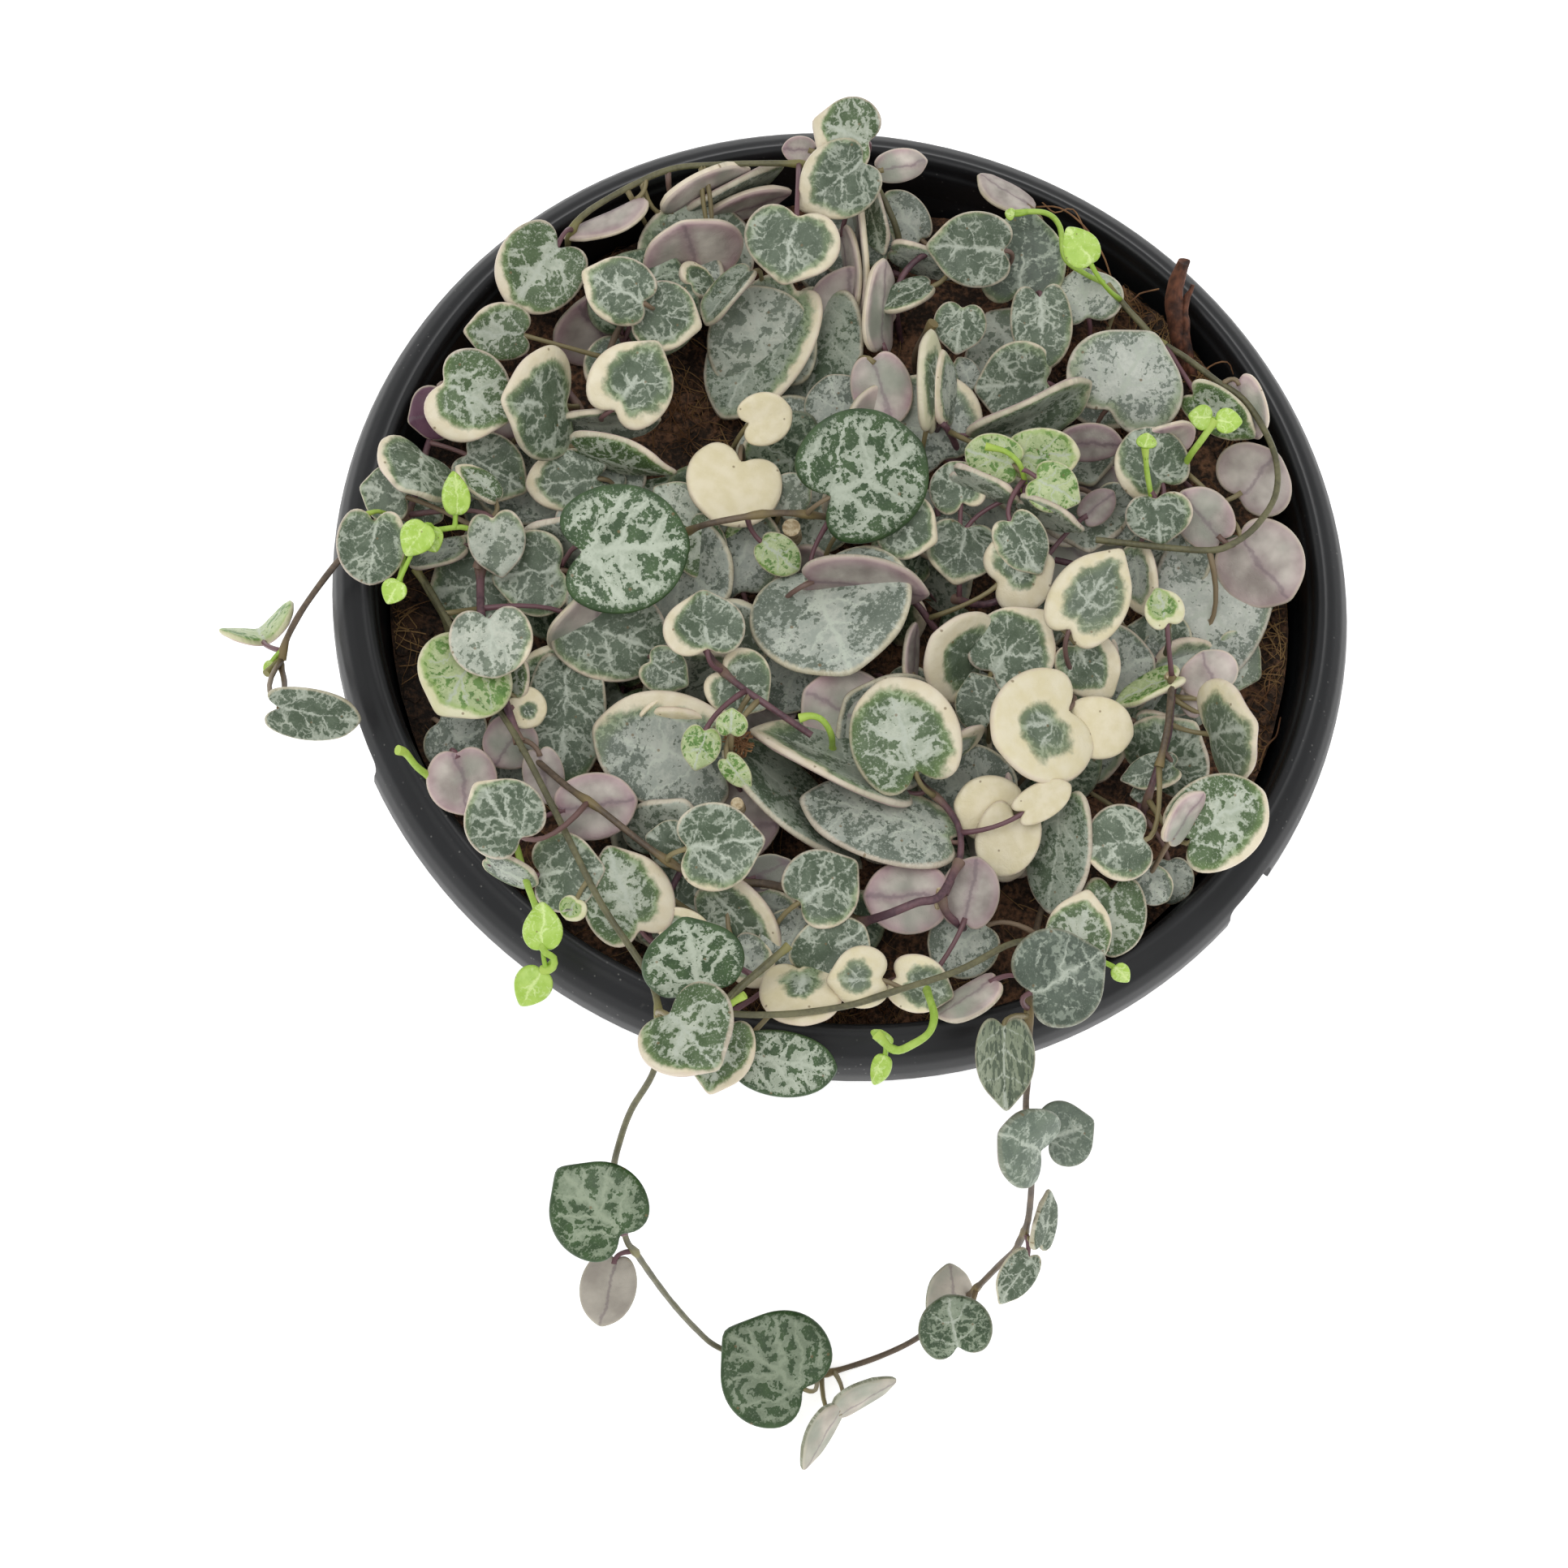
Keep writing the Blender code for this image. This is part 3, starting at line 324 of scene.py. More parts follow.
# The other leaves, by the part of the plant that they grow in: the same values without a stem.
MORE_LEAVES = {
    "back": (
        (646, 412, 570, 408, 72, 102, "mottled", 0.3, "right"),
        (790, 245, 694, 297, 22, 103.5, "under", 0.5, "right"),
        (822, 262, 923, 204, 22, 100, "under", 0.5, "right"),
        (850, 262, 970, 207, 24, 97, "old", 0.1, "right"),
        (875, 268, 975, 233, 26, 96, "under", 0.8, "right"),
        (862, 338, 838, 268, 128, 97, "under", 0.2, "up"),
        (850, 352, 872, 330, 52, 101, "veined", 0.5, "down"),
        (870, 304, 868, 330, 24, 99, "veined", 0.2, "down"),
        (883, 308, 906, 318, 24, 99, "veined", 0.3, "down"),
        (792, 380, 864, 403, 88, 106, "veined", 0.35, "up"),
        (925, 335, 866, 398, 34, 105, "moss", 0.2, "right"),
        (1064, 200, 985, 258, 96, 112, "veined", 0.4, "up"),
        (1003, 185, 963, 184, 34, 104, "under", 0.3, "up"),
        (1082, 210, 1143, 198, 42, 106, "under", 0.2, "right"),
        (1135, 295, 1092, 236, 60, 97, "old", 0.3, "up"),
        (1072, 240, 1086, 315, 34, 103, "veined", 0.05, "right"),
        (1060, 258, 1066, 398, 18, 100, "under", 0.9, "right"),
        (1040, 285, 1050, 400, 28, 99, "under", 0.6, "right"),
        (1085, 430, 1085, 318, 34, 98, "under", 0.9, "right"),
        (1100, 308, 1183, 342, 34, 99, "old", 0.1, "right"),
        (1146, 352, 1083, 381, 34, 101, "veined", 0.15, "right"),
        (1270, 258, 1202, 220, 30, 101, "under", 0.5, "right"),
        # This leaf takes the darker slate look as painted shade, since it lies in shade among the back
        # leaves.
        (1255, 365, 1265, 255, 110, 99.5, "slate", 0.15, "up"),
        (1186, 379, 1178, 437, 66, 106, "veined", 0.08, "up"),
        (1340, 392, 1330, 328, 90, 101.5, "waxy", 0.1, "up"),
        (1345, 325, 1315, 280, 46, 113, "lime", 0, "up"),
        (1250, 265, 1238, 262, 16, 108, "lime", 0, "up"),
    ),
    "upper": (
        (550, 505, 503, 520, 70, 101, "purple", 0, "right"),
        (500, 612, 443, 600, 75, 104, "veined", 0.1, "up"),
        (500, 610, 545, 640, 70, 98, "veined", 0.05, "down"),
        (562, 634, 559, 580, 34, 110, "lime", 0, "up"),
        (524, 645, 500, 685, 44, 112, "lime", 0, "up"),
        (525, 652, 538, 680, 34, 110, "lime", 0, "up"),
        (492, 716, 477, 744, 32, 109, "lime", 0, "up"),
        (611, 616, 562, 573, 30, 107, "mottled", 0.3, "right"),
        (575, 560, 650, 605, 85, 99, "veined", 0.15, "down"),
        (735, 590, 647, 598, 78, 101, "veined", 0.35, "up"),
        (690, 700, 606, 715, 108, 104, "veined", 0.08, "up"),
        (572, 672, 503, 695, 30, 100, "old", 0.2, "right"),
        (700, 520, 815, 520, 38, 102, "old", 0.1, "right"),
        (712, 552, 834, 586, 36, 104, "mottled", 0.1, "right"),
        (765, 600, 700, 570, 40, 98, "old", 0, "right"),
        (982, 358, 888, 516, 118, 99, "moss", 0.3, "up"),
        (1020, 365, 985, 548, 115, 97, "moss", 0.1, "up"),
        (922, 522, 976, 505, 66, 107, "pale", 1, "up"),
        (860, 640, 805, 600, 60, 102, "silver", 0.1, "up"),
        (960, 632, 990, 585, 55, 102, "silver", 0.1, "up"),
        (850, 650, 880, 712, 70, 102, "mottled", 0.1, "down"),
        (925, 645, 900, 680, 42, 101, "fresh", 0, "up"),
        (930, 665, 954, 645, 34, 99, "under", 0.2, "up"),
        (938, 668, 985, 703, 50, 106, "fresh", 0.1, "up"),
        (995, 714, 1146, 722, 58, 108, "under", 0, "right"),
        (1076, 441, 1100, 528, 76, 104, "under", 0.3, "down"),
        (1145, 527, 1150, 405, 26, 104, "edge", 0.7, "right"),
        (1165, 520, 1165, 430, 26, 102, "old", 0.5, "right"),
        (1200, 480, 1180, 440, 34, 98, "old", 0.3, "right"),
        (1290, 470, 1200, 480, 110, 101, "veined", 0.15, "up"),
        (1200, 540, 1350, 480, 56, 104, "moss", 0.2, "right"),
        (1247, 572, 1189, 553, 62, 110, "fresh", 0.05, "up"),
        (1256, 562, 1332, 560, 66, 109, "fresh", 0.45, "up"),
        (1277, 589, 1331, 619, 64, 112, "fresh", 0.05, "up"),
        (1186, 620, 1170, 568, 72, 106, "veined", 0.4, "up"),
        (1180, 583, 1256, 620, 26, 109, "silver", 0.1, "right"),
        (1262, 618, 1336, 655, 28, 109, "silver", 0.1, "right"),
        (1245, 642, 1283, 708, 66, 110, "veined", 0.2, "up"),
        (1228, 718, 1300, 690, 100, 106, "veined", 0.75, "up"),
        (1095, 640, 1155, 668, 84, 108, "veined", 0.4, "down"),
        (1190, 650, 1176, 721, 92, 104, "veined", 0.3, "down"),
        (1335, 640, 1372, 605, 40, 104, "under", 0.2, "right"),
        (1310, 545, 1384, 545, 48, 102, "under", 0.2, "right"),
        (1432, 595, 1395, 530, 92, 108, "veined", 0.3, "up"),
        (1440, 560, 1430, 525, 75, 105, "under", 0.3, "up"),
        (1411, 552, 1414, 533, 26, 117, "lime", 0, "up"),
        (1493, 515, 1464, 512, 32, 114, "lime", 0, "up"),
        (1498, 518, 1531, 520, 32, 114, "lime", 0, "up"),
        (1470, 486, 1548, 540, 56, 106, "mottled", 0.35, "right"),
        (1526, 468, 1555, 540, 44, 107, "under", 0.6, "right"),
        (1525, 612, 1575, 560, 105, 104, "under", 0.1, "up"),
        (1525, 660, 1590, 740, 110, 105, "under", 0.1, "down"),
        (1505, 665, 1455, 605, 70, 105, "under", 0.1, "up"),
        (1424, 614, 1432, 672, 84, 110, "veined", 0.15, "up"),
        (1490, 672, 1460, 655, 30, 103, "veined", 0.2, "right"),
        (1510, 676, 1470, 850, 150, 101, "waxy", 0.04, "up"),
        (1366, 506, 1424, 408, 150, 103, "waxy", 0.3, "up"),
        (1350, 610, 1395, 665, 80, 101, "old", 0, "down"),
        (1400, 675, 1410, 760, 44, 103, "old", 0.6, "right"),
    ),
    "lower": (
        (640, 815, 638, 862, 26, 105, "mottled", 0.4, "right"),
        (640, 860, 664, 894, 52, 103, "pale", 0.9, "up"),
        (700, 830, 690, 975, 100, 99, "veined", 0.2, "up"),
        (563, 927, 577, 1005, 88, 104.5, "under", 0.1, "up"),
        (640, 890, 610, 945, 70, 99, "under", 0.1, "up"),
        (664, 925, 678, 992, 52, 101.5, "under", 0.1, "up"),
        (690, 1000, 786, 985, 84, 101.5, "under", 0.1, "up"),
        (540, 890, 590, 930, 90, 97, "old", 0, "up"),
        (708, 765, 822, 803, 125, 103.5, "veined", 0.12, "up"),
        (800, 815, 848, 845, 60, 104, "veined", 0.4, "down"),
        (795, 880, 830, 855, 20, 103, "pale", 1, "right"),
        (897, 957, 730, 895, 145, 101, "old", 0.35, "up"),
        (888, 826, 944, 873, 88, 106, "veined", 0.45, "up"),
        (900, 904, 902, 872, 40, 112, "fresh", 0.1, "up"),
        (868, 900, 856, 950, 50, 111, "fresh", 0.05, "up"),
        (895, 935, 925, 972, 32, 109, "fresh", 0, "up"),
        (815, 885, 880, 895, 22, 103, "pale", 1, "right"),
        (842, 1045, 795, 1030, 60, 103, "veined", 0, "down"),
        (1118, 975, 925, 895, 62, 104, "moss", 0.3, "right"),
        (1172, 1035, 988, 975, 95, 106, "old", 0.15, "right"),
        (905, 925, 1070, 1062, 60, 103, "moss", 0.05, "left"),
        (1085, 900, 990, 850, 110, 103, "under", 0.1, "up"),
        (990, 800, 960, 880, 80, 99, "old", 0, "up"),
        (1000, 705, 1043, 819, 205, 104, "old", 0, "up"),
        (1122, 835, 1125, 766, 16, 104, "under", 0.2, "right"),
        (1205, 815, 1150, 785, 120, 104, "veined", 0.6, "up"),
        (1220, 890, 1195, 828, 70, 103, "veined", 0, "up"),
        (1130, 948, 1214, 896, 24, 105, "old", 0.4, "right"),
        (1328, 892, 1398, 905, 78, 110, "pale", 1, "up"),
        (1240, 990, 1130, 950, 110, 101, "old", 0, "up"),
        (1245, 1000, 1175, 990, 84, 106, "pale", 1, "up"),
        (1262, 1000, 1320, 967, 46, 110, "pale", 1, "right"),
        (1250, 1005, 1225, 1080, 80, 107, "pale", 1, "up"),
        (1314, 980, 1290, 1126, 82, 107, "moss", 0.05, "up"),
        (1325, 795, 1370, 860, 80, 108, "veined", 0.6, "up"),
        (1440, 768, 1424, 724, 50, 113, "fresh", 0.6, "up"),
        (1500, 850, 1480, 802, 76, 105, "under", 0.5, "up"),
        (1492, 906, 1543, 893, 132, 107, "patch", 0.55, "up"),
        (1450, 835, 1372, 870, 30, 106, "fresh", 0.3, "right"),
        (1480, 880, 1465, 840, 40, 102, "under", 0.1, "up"),
        (1400, 890, 1478, 930, 50, 101, "old", 0.3, "right"),
        (1447, 945, 1380, 960, 46, 106, "veined", 0.2, "up"),
        (1415, 975, 1392, 980, 26, 102, "veined", 0.1, "up"),
        (1440, 1036, 1478, 972, 30, 112, "under", 0.2, "right"),
        (1409, 1033, 1331, 1048, 96, 110, "veined", 0.2, "up"),
    ),
    "front": (
        (600, 1058, 662, 1092, 30, 105, "old", 0.3, "right"),
        (669, 1170, 668, 1111, 50, 110, "lime", 0, "up"),
        (668, 1195, 641, 1240, 48, 108, "lime", 0, "up"),
        (665, 1077, 746, 1070, 100, 101.8, "veined", 0.1, "up"),
        (712, 1108, 698, 1134, 36, 104, "fresh", 0.6, "up"),
        (789, 1147, 748, 1042, 114, 102.8, "mottled", 0.45, "up"),
        (880, 1095, 962, 1188, 76, 104, "veined", 0.5, "right"),
        (905, 1160, 945, 1215, 60, 102, "old", 0.5, "down"),
        (860, 1150, 808, 1130, 50, 103, "pale", 0.8, "down"),
        (815, 1185, 801, 1180, 26, 104, "pale", 0.8, "down"),
        (985, 1195, 990, 1255, 105, 105, "pale", 0.85, "up"),
        (986, 1112, 1056, 1061, 100, 109, "veined", 0.15, "up"),
        (1000, 1195, 1065, 1140, 90, 105, "veined", 0, "up"),
        (925, 1085, 975, 1060, 44, 103, "purple", 0, "right"),
        (930, 1105, 985, 1128, 40, 102, "old", 0.5, "right"),
        (960, 1190, 990, 1120, 80, 101, "old", 0, "up"),
        (1162, 1104, 1063, 1104, 92, 106, "under", 0.1, "up"),
        (1188, 1138, 1205, 1055, 74, 105, "under", 0.1, "up"),
        (1087, 1206, 1018, 1208, 78, 108, "patch", 0.85, "up"),
        (1104, 1204, 1176, 1228, 72, 105, "patch", 0.6, "up"),
        (1098, 1288, 1075, 1268, 14, 110, "lime", 0, "up"),
        (1090, 1300, 1077, 1337, 24, 109, "lime", 0, "up"),
        (1226, 1208, 1157, 1257, 40, 105, "under", 0.1, "right"),
        (1215, 1140, 1150, 1190, 90, 101, "old", 0, "up"),
        (1325, 1180, 1341, 1096, 82, 107, "mottled", 0.35, "up"),
        (1370, 1095, 1371, 1180, 84, 104.2, "mottled", 0.1, "up"),
        (1405, 1075, 1440, 1110, 50, 101, "old", 0.1, "down"),
        (1440, 1060, 1445, 1115, 60, 99, "old", 0, "down"),
        (1374, 1190, 1391, 1210, 24, 108, "lime", 0, "up"),
    ),
    "trailing": (
        (1281, 1534, 1296, 1466, 26, 62, "veined", 0, "right"),
        (1178, 1652, 1168, 1556, 62, 21, "beige", 0, "up"),
        (335, 815, 326, 831, 14, 90, "lime", 0, "up"),
    ),
}

# Forms of blade: how far the tip juts and over what angle, the same for the notch, how much wider than
# long the blade is, and how much its weight lies behind the middle.
BLADE_FORMS = {
    "heart": (0.24, 0.75, 0.42, 0.72, -0.03, -0.10),
    "kidney": (0.05, 0.60, 0.50, 0.80, -0.06, -0.02),
    "round": (0.07, 0.50, 0.26, 0.55, 0.0, -0.03),
    "young": (0.42, 1.00, 0.16, 0.50, 0.05, -0.12),
}

# Leaf finishes. Each names the two tones of its dark cells, the two of its silver ground, and the
# sizes of its pattern; what it doesn't name comes from PLAIN_LOOK.
PLAIN_LOOK = {
    "dark": ("#465640", "#596853"),
    "ground": ("#929c8b", "#adb5a4"),
    "vein_tone": "#bac2b3",
    "margin": ("#dbd0b0", "#e5dcc2"),
    "fresh": "#7f955c",
    "back": ("#a4938f", "#b9aaa3"),
    "cells": 6.6,
    "cover": 0.006,
    "soft": 0.016,
    "ragged": 0.11,
    "drift": 0.14,
    "outward": 0.0,
    "vein": 0.016,
    "specks": 0.40,
    "band": 0.0,
    "line": 0.65,
    "stretch": 1.0,
    "rough": 0.44,
}
LOOKS = {
    "blotched": {
        "dark": ("#2f4826", "#3f5932"), "ground": ("#98a38f", "#afb8a6"), "vein_tone": "#b6bfad",
        "cells": 4.4, "cover": 0.024, "soft": 0.008, "ragged": 0.18, "vein": 0.024, "specks": 0.7,
        "band": 1.0, "back": ("#a9a39b", "#bab5ad"), "line": 0.0,
    },
    "deep": {
        "dark": ("#2b4420", "#38532a"), "ground": ("#75836a", "#8b9880"), "vein_tone": "#95a188",
        "cells": 4.6, "cover": 0.024, "soft": 0.008, "ragged": 0.16, "drift": 0.12, "vein": 0.022,
        "specks": 0.6, "band": 1.0, "back": ("#a9a39b", "#bab5ad"), "line": 0.0,
    },
    "mottled": {
        "dark": ("#415830", "#526842"), "ground": ("#a2ac98", "#bcc3b1"), "cells": 5.2,
        "cover": 0.014, "ragged": 0.17, "drift": 0.17, "outward": 0.05, "specks": 0.7, "fresh": "#7c9850",
        "margin": ("#ded2b3", "#e6ddc4"),
    },
    "veined": {"outward": -0.02},
    "green": {
        "dark": ("#32472b", "#405539"), "ground": ("#818f78", "#99a48e"), "cover": 0.016,
        "ragged": 0.18, "band": 0.7, "specks": 0.6, "line": 0.15,
    },
    "silver": {
        "dark": ("#5f6b5a", "#737f6c"), "ground": ("#a3ab9c", "#bcc1b2"), "cover": 0.022,
        "ragged": 0.24, "drift": 0.34, "cells": 7.0,
    },
    "fresh": {
        "dark": ("#4c7528", "#688f40"), "ground": ("#a3b47f", "#bdc998"), "cover": 0.034,
        "ragged": 0.18, "drift": 0.2, "fresh": "#93b350", "margin": ("#dcdaab", "#e6e3c0"), "specks": 0.3,
    },
    "old": {
        "dark": ("#5c675a", "#6e786b"), "ground": ("#99a196", "#b4b9ad"), "cells": 7.0,
        "cover": 0.040, "soft": 0.030, "ragged": 0.50, "drift": 0.5, "outward": 0.10, "vein": 0.022,
        "specks": 0.7, "rough": 0.5,
    },
    # Dark grey-green tones; on the back leaf at the top right they stand for painted shade.
    "slate": {
        "dark": ("#475346", "#566355"), "ground": ("#7d887a", "#949e8e"), "cover": 0.004, "cells": 6.0,
        "ragged": 0.16, "drift": 0.16, "line": 0.2,
    },
    "misty": {
        "dark": ("#5d6b5c", "#6b7968"), "ground": ("#8c9889", "#a3ad9d"), "cover": 0.004, "cells": 6.0,
        "ragged": 0.16, "drift": 0.16, "line": 0.1,
    },
    "moss": {
        "dark": ("#4b5b46", "#5b6a55"), "ground": ("#8a9585", "#a4ac9c"), "cells": 9.0, "cover": 0.030,
        "soft": 0.026, "ragged": 0.36, "drift": 0.36, "vein": 0.014, "specks": 0.8, "rough": 0.5,
    },
    "waxy": {
        "dark": ("#6c776a", "#7f897c"), "ground": ("#b3b9ae", "#cbcfc4"), "cells": 8.0,
        "margin": ("#ebe4cb", "#f2ecda"), "cover": 0.060, "soft": 0.030, "ragged": 0.60, "drift": 0.5,
        "outward": 0.12, "vein": 0.022, "specks": 0.9, "rough": 0.5,
    },
    "streaked": {
        "dark": ("#465340", "#56634d"), "ground": ("#788369", "#969f87"), "cells": 7.0,
        "cover": 0.02, "ragged": 0.4, "stretch": 0.25, "specks": 0.3, "rough": 0.4, "line": 0.3,
    },
    "patch": {
        "margin": ("#e2d7b0", "#eae1c4"), "dark": ("#566450", "#687661"), "fresh": "#8f9d6c",
    },
    "pale": {"margin": ("#ddd2ac", "#e7ddbf"), "back": ("#d4c7a3", "#dfd3b4")},
    "under": {"back": ("#978d86", "#ccc4ba")},
    "beige": {"back": ("#a29a8f", "#c0b9ac"), "line": 0.25},
    "purple": {
        "dark": ("#56404e", "#654a58"), "ground": ("#5f4655", "#705260"), "specks": 0.1,
        "back": ("#5c3a4e", "#6d4a5c"),
    },
    "edge": {"margin": ("#d6d4b0", "#e3dec0"), "back": ("#c5c1a2", "#d2ccb2")},
    "lime": {
        "dark": ("#a2c64c", "#b2d262"), "ground": ("#bcd87c", "#cce294"), "vein_tone": "#d6ea96",
        "margin": ("#d8eb9a", "#e3f0b4"), "back": ("#aecf62", "#c0dc80"), "cover": 0.002, "ragged": 0.1,
        "specks": 0.0, "rough": 0.36, "line": 0.0,
    },
}

# Two tones of each stem's bark, and a third for where leaves join it.
STEM_TONES = {
    "brown": ("#4c4034", "#6a5a48", "#8a7a4c"),
    "olive": ("#54523a", "#6e6b4c", "#8f894c"),
    "purple": ("#4b333c", "#6b4c52", "#85705a"),
    "lime": ("#93b640", "#abc95c", "#b4cc5c"),
    "petiole": ("#6d4c52", "#857a56"),
}

# The forms of blade that belong to a look.
FORM_OF_LOOK = {
    "lime": "young", "old": "round", "moss": "round", "under": "round", "beige": "round", "edge": "round",
    "pale": "kidney",
}

# Seen widths below and above which other forms of blade are drawn.
SMALL_LEAF = 60
LARGE_LEAF = 135

# Routes of stems: the step between their points.
ROUTE_STEP = 1.2 * MM

# A leaf's stalk: the parts that it bends in.
STALK_RINGS = 7

# The middle of a blade, as a share of the way from notch to tip.
BLADE_MIDDLE = 0.45

# Looks that show a leaf's back.
BACK_LOOKS = ("under", "beige", "purple")

# One unit of a leaf's pattern, how much the cream part gathers on one side, and how much of a small
# cream part is kept.
PATTERN_WIDTH = 12 * MM
CREAM_PULL = 0.40
CREAM_CUT = 0.78

# Where a leaf's cream part is widest, as right and down in the picture.
CREAM_SIDES = {
    "heart_top": (-0.9, 0.5),
    "heart_crown_heart": (0.4, 0.1),
    "heart_back_12": (-0.9, 0.2),
    "heart_rim_heart": (-0.9, 0.4),
    "heart_pair_left": (-0.5, 0.1),
    "heart_back_10": (0.4, 0.5),
    "heart_pink_heart": (-0.7, 0.8),
    "heart_pink_twin": (-0.1, -0.5),
    "heart_cream_heart": (-0.5, 0.1),
    "heart_kidney_rim": (-0.7, -0.2),
    "heart_upper_10": (-0.9, 0.2),
    "heart_grey_heart": (-0.8, 0.3),
    "heart_centre_heart": (0.4, -0.5),
    "heart_cream_right": (-0.3, -0.1),
    "heart_cream_patch": (-0.3, -0.5),
    "heart_right_lower": (0.7, 0.5),
    "heart_cream_middle": (0.7, -0.5),
    "heart_left_kidney": (-0.6, 0.6),
    "heart_front_heart": (-0.6, 0.8),
    "heart_front_back": (0.7, 0.7),
    "heart_front_06": (1.0, 0.1),
    "heart_centre_veined": (-0.3, 0.8),
    "heart_lower_12": (0.1, -0.9),
    "heart_lower_20": (0.5, -0.6),
    "heart_lower_26": (-0.8, -0.4),
    "heart_lower_38": (-0.2, -0.5),
    "heart_front_07": (0.8, -0.5),
    "heart_front_08": (0.5, 0.8),
    "heart_front_11": (0.0, 1.2),
    "heart_front_20": (-0.7, -0.3),
    "heart_front_25": (0.3, -0.9),
    "heart_upper_16": (0.7, 0.2),
    "heart_upper_44": (-0.6, 0.8),
    "heart_upper_41": (-0.2, 0.4),
}

# The leaf at the loop's end that is folded shut shows its two halves from behind. Each has the values
# of a leaf above.
FOLDED_LEAF = "leaf_loop_folded"
FOLDED_HALVES = ((1030, 1742, 1103, 1696, 27, 5, "right"), (1034, 1732, 986, 1809, 27, 6.2, "left"))

# Blades that are folded along the midrib more than usual: how far their edges rise.
FOLDS = {"leaf_left_fold": 0.30, "leaf_rim_hanging": 0.16}

# Hidden leaves: the part of the picture that they fill, their heights and seen widths, how far they keep
# from the wall, from how many spreads of a bare patch outwards they lie, and their looks.
PLANT_ACROSS = (450, 1580)
PLANT_DOWN = (180, 1240)
HIDDEN_HEIGHTS = (90.5, 98)
HIDDEN_WIDTHS = (80, 150)
HIDDEN_FROM_WALL = 9 * MM
HIDDEN_FROM_BARE = 1.7
HIDDEN_LOOKS = ("old", "old", "veined", "green", "silver", "under")

# Where soil is banked up against the wall: direction and half its span in degrees, rise in millimetres.
SOIL_BANKS = ((40, 27, 6.5), (-14, 26, 3.0))

# Where bare soil shows: picture x, picture y and spread in millimetres.
BARE_PATCHES = (
    (1585, 850, 5.0), (1440, 380, 4.0), (1540, 480, 4.0), (1575, 560, 3.0), (1590, 780, 4.0),
    (1570, 930, 4.0), (1400, 350, 4.0), (1490, 420, 4.0), (1350, 290, 3.0),
    (860, 540, 4.0), (950, 530, 3.0), (840, 490, 2.5), (780, 400, 2.5), (1080, 1240, 3.5),
    (760, 350, 3.0), (510, 760, 4.0), (1370, 560, 3.0), (1410, 780, 2.5), (1240, 860, 2.5),
    (860, 230, 3.0), (1000, 1250, 3.0),
)

# Long roots on the soil by the back wall: picture x, picture y and height in millimetres.
LONG_ROOTS = (
    ((1272, 255, 99), (1305, 256, 101), (1335, 278, 101.5), (1358, 312, 101), (1370, 345, 99)),
    ((1284, 249, 99), (1300, 262, 100.5), (1322, 258, 100.5), (1340, 290, 99)),
    ((1384, 352, 98), (1392, 372, 100), (1404, 362, 100.5), (1428, 356, 99.5)),
    ((1362, 372, 97), (1358, 388, 100), (1366, 402, 99)),
    ((1470, 478, 96), (1490, 452, 99), (1512, 446, 99), (1520, 462, 97)),
    ((1388, 566, 90), (1396, 580, 93), (1384, 600, 90.5)),
    ((1466, 600, 90), (1486, 590, 93), (1500, 604, 91)),
    ((835, 470, 90), (848, 486, 93), (846, 512, 92), (870, 528, 90)),
    ((1546, 872, 90), (1562, 852, 92.5), (1566, 828, 92), (1582, 812, 90.5)),
    ((1550, 952, 90), (1560, 920, 92.5), (1572, 908, 92), (1578, 884, 90.5)),
)

# The dried stick's main limb and the one that splits off: the places of each, and its radii in
# millimetres along them.
STICK_LIMBS = (
    (((1475, 482, 92.2), (1456, 424, 98), (1447, 362, 105), (1459, 322, 110.6)), (1.2, 1.45, 1.45, 0.9)),
    (((1475, 482, 92.6), (1462, 428, 98.4), (1461, 375, 104), (1470, 350, 106.5)), (0.8, 0.9, 0.7, 0.3)),
)

# The coir plug: its middle, its strands and their radius.
PLUG_MIDDLE = (910, 915, 107)
PLUG_STRANDS = 46
STRAND_RADIUS = 0.11 * MM

# The cutters of the notches and drain holes: how far they stand out, and their rounding.
CUTTER_OUT = 4 * MM
CUTTER_DOWN = 2 * MM
CUTTER_CORNER = 1.4 * MM
DRAIN_SIDES = 28

# The number of a crumb's points, and where a fibre is cut so that it can bend, from its middle.
CRUMB_POINTS = 12
FIBRE_CUTS = (-0.3, -0.1, 0.1, 0.3)

# Points of one piece that are nearer to each other than this are merged.
MERGE_REACH = 0.00001

# The seeds of what is strewn by chance.
SOIL_SEED = 11
DRY_SEED = 5
HIDDEN_SEED = 23

# The stage's floor: its width, and how far it lies below the pot.
FLOOR_WIDTH = 4.0
FLOOR_DROP = 0.2 * MM


def paint(code):
    """A colour written as #rrggbb, as the linear values that a shader takes."""
    shades = [int(code[start:start + 2], 16) / 255 for start in (1, 3, 5)]
    linear = [shade / 12.92 if shade <= 0.04045 else ((shade + 0.055) / 1.055) ** 2.4 for shade in shades]
    return (*linear, 1.0)


def eye_frame():
    """The eye's place and the directions that it sees as right, up and forward."""
    back = Vector((
        math.cos(EYE_ELEVATION) * math.sin(EYE_TURN),
        -math.cos(EYE_ELEVATION) * math.cos(EYE_TURN),
        math.sin(EYE_ELEVATION),
    ))
    level_right = (-back).cross(Vector((0, 0, 1))).normalized()
    level_up = level_right.cross(-back)
    right = math.cos(EYE_ROLL) * level_right + math.sin(EYE_ROLL) * level_up
    up = math.cos(EYE_ROLL) * level_up - math.sin(EYE_ROLL) * level_right
    return EYE_AIM + EYE_DISTANCE * back, right, up, -back


EYE, EYE_RIGHT, EYE_UP, EYE_FORWARD = eye_frame()


def sight(x, y):
    """The direction of sight through a picture point, one unit deep."""
    across = (x - PICTURE_MIDDLE) / EYE_FOCAL
    above = (PICTURE_MIDDLE - y) / EYE_FOCAL
    return EYE_FORWARD + across * EYE_RIGHT + above * EYE_UP


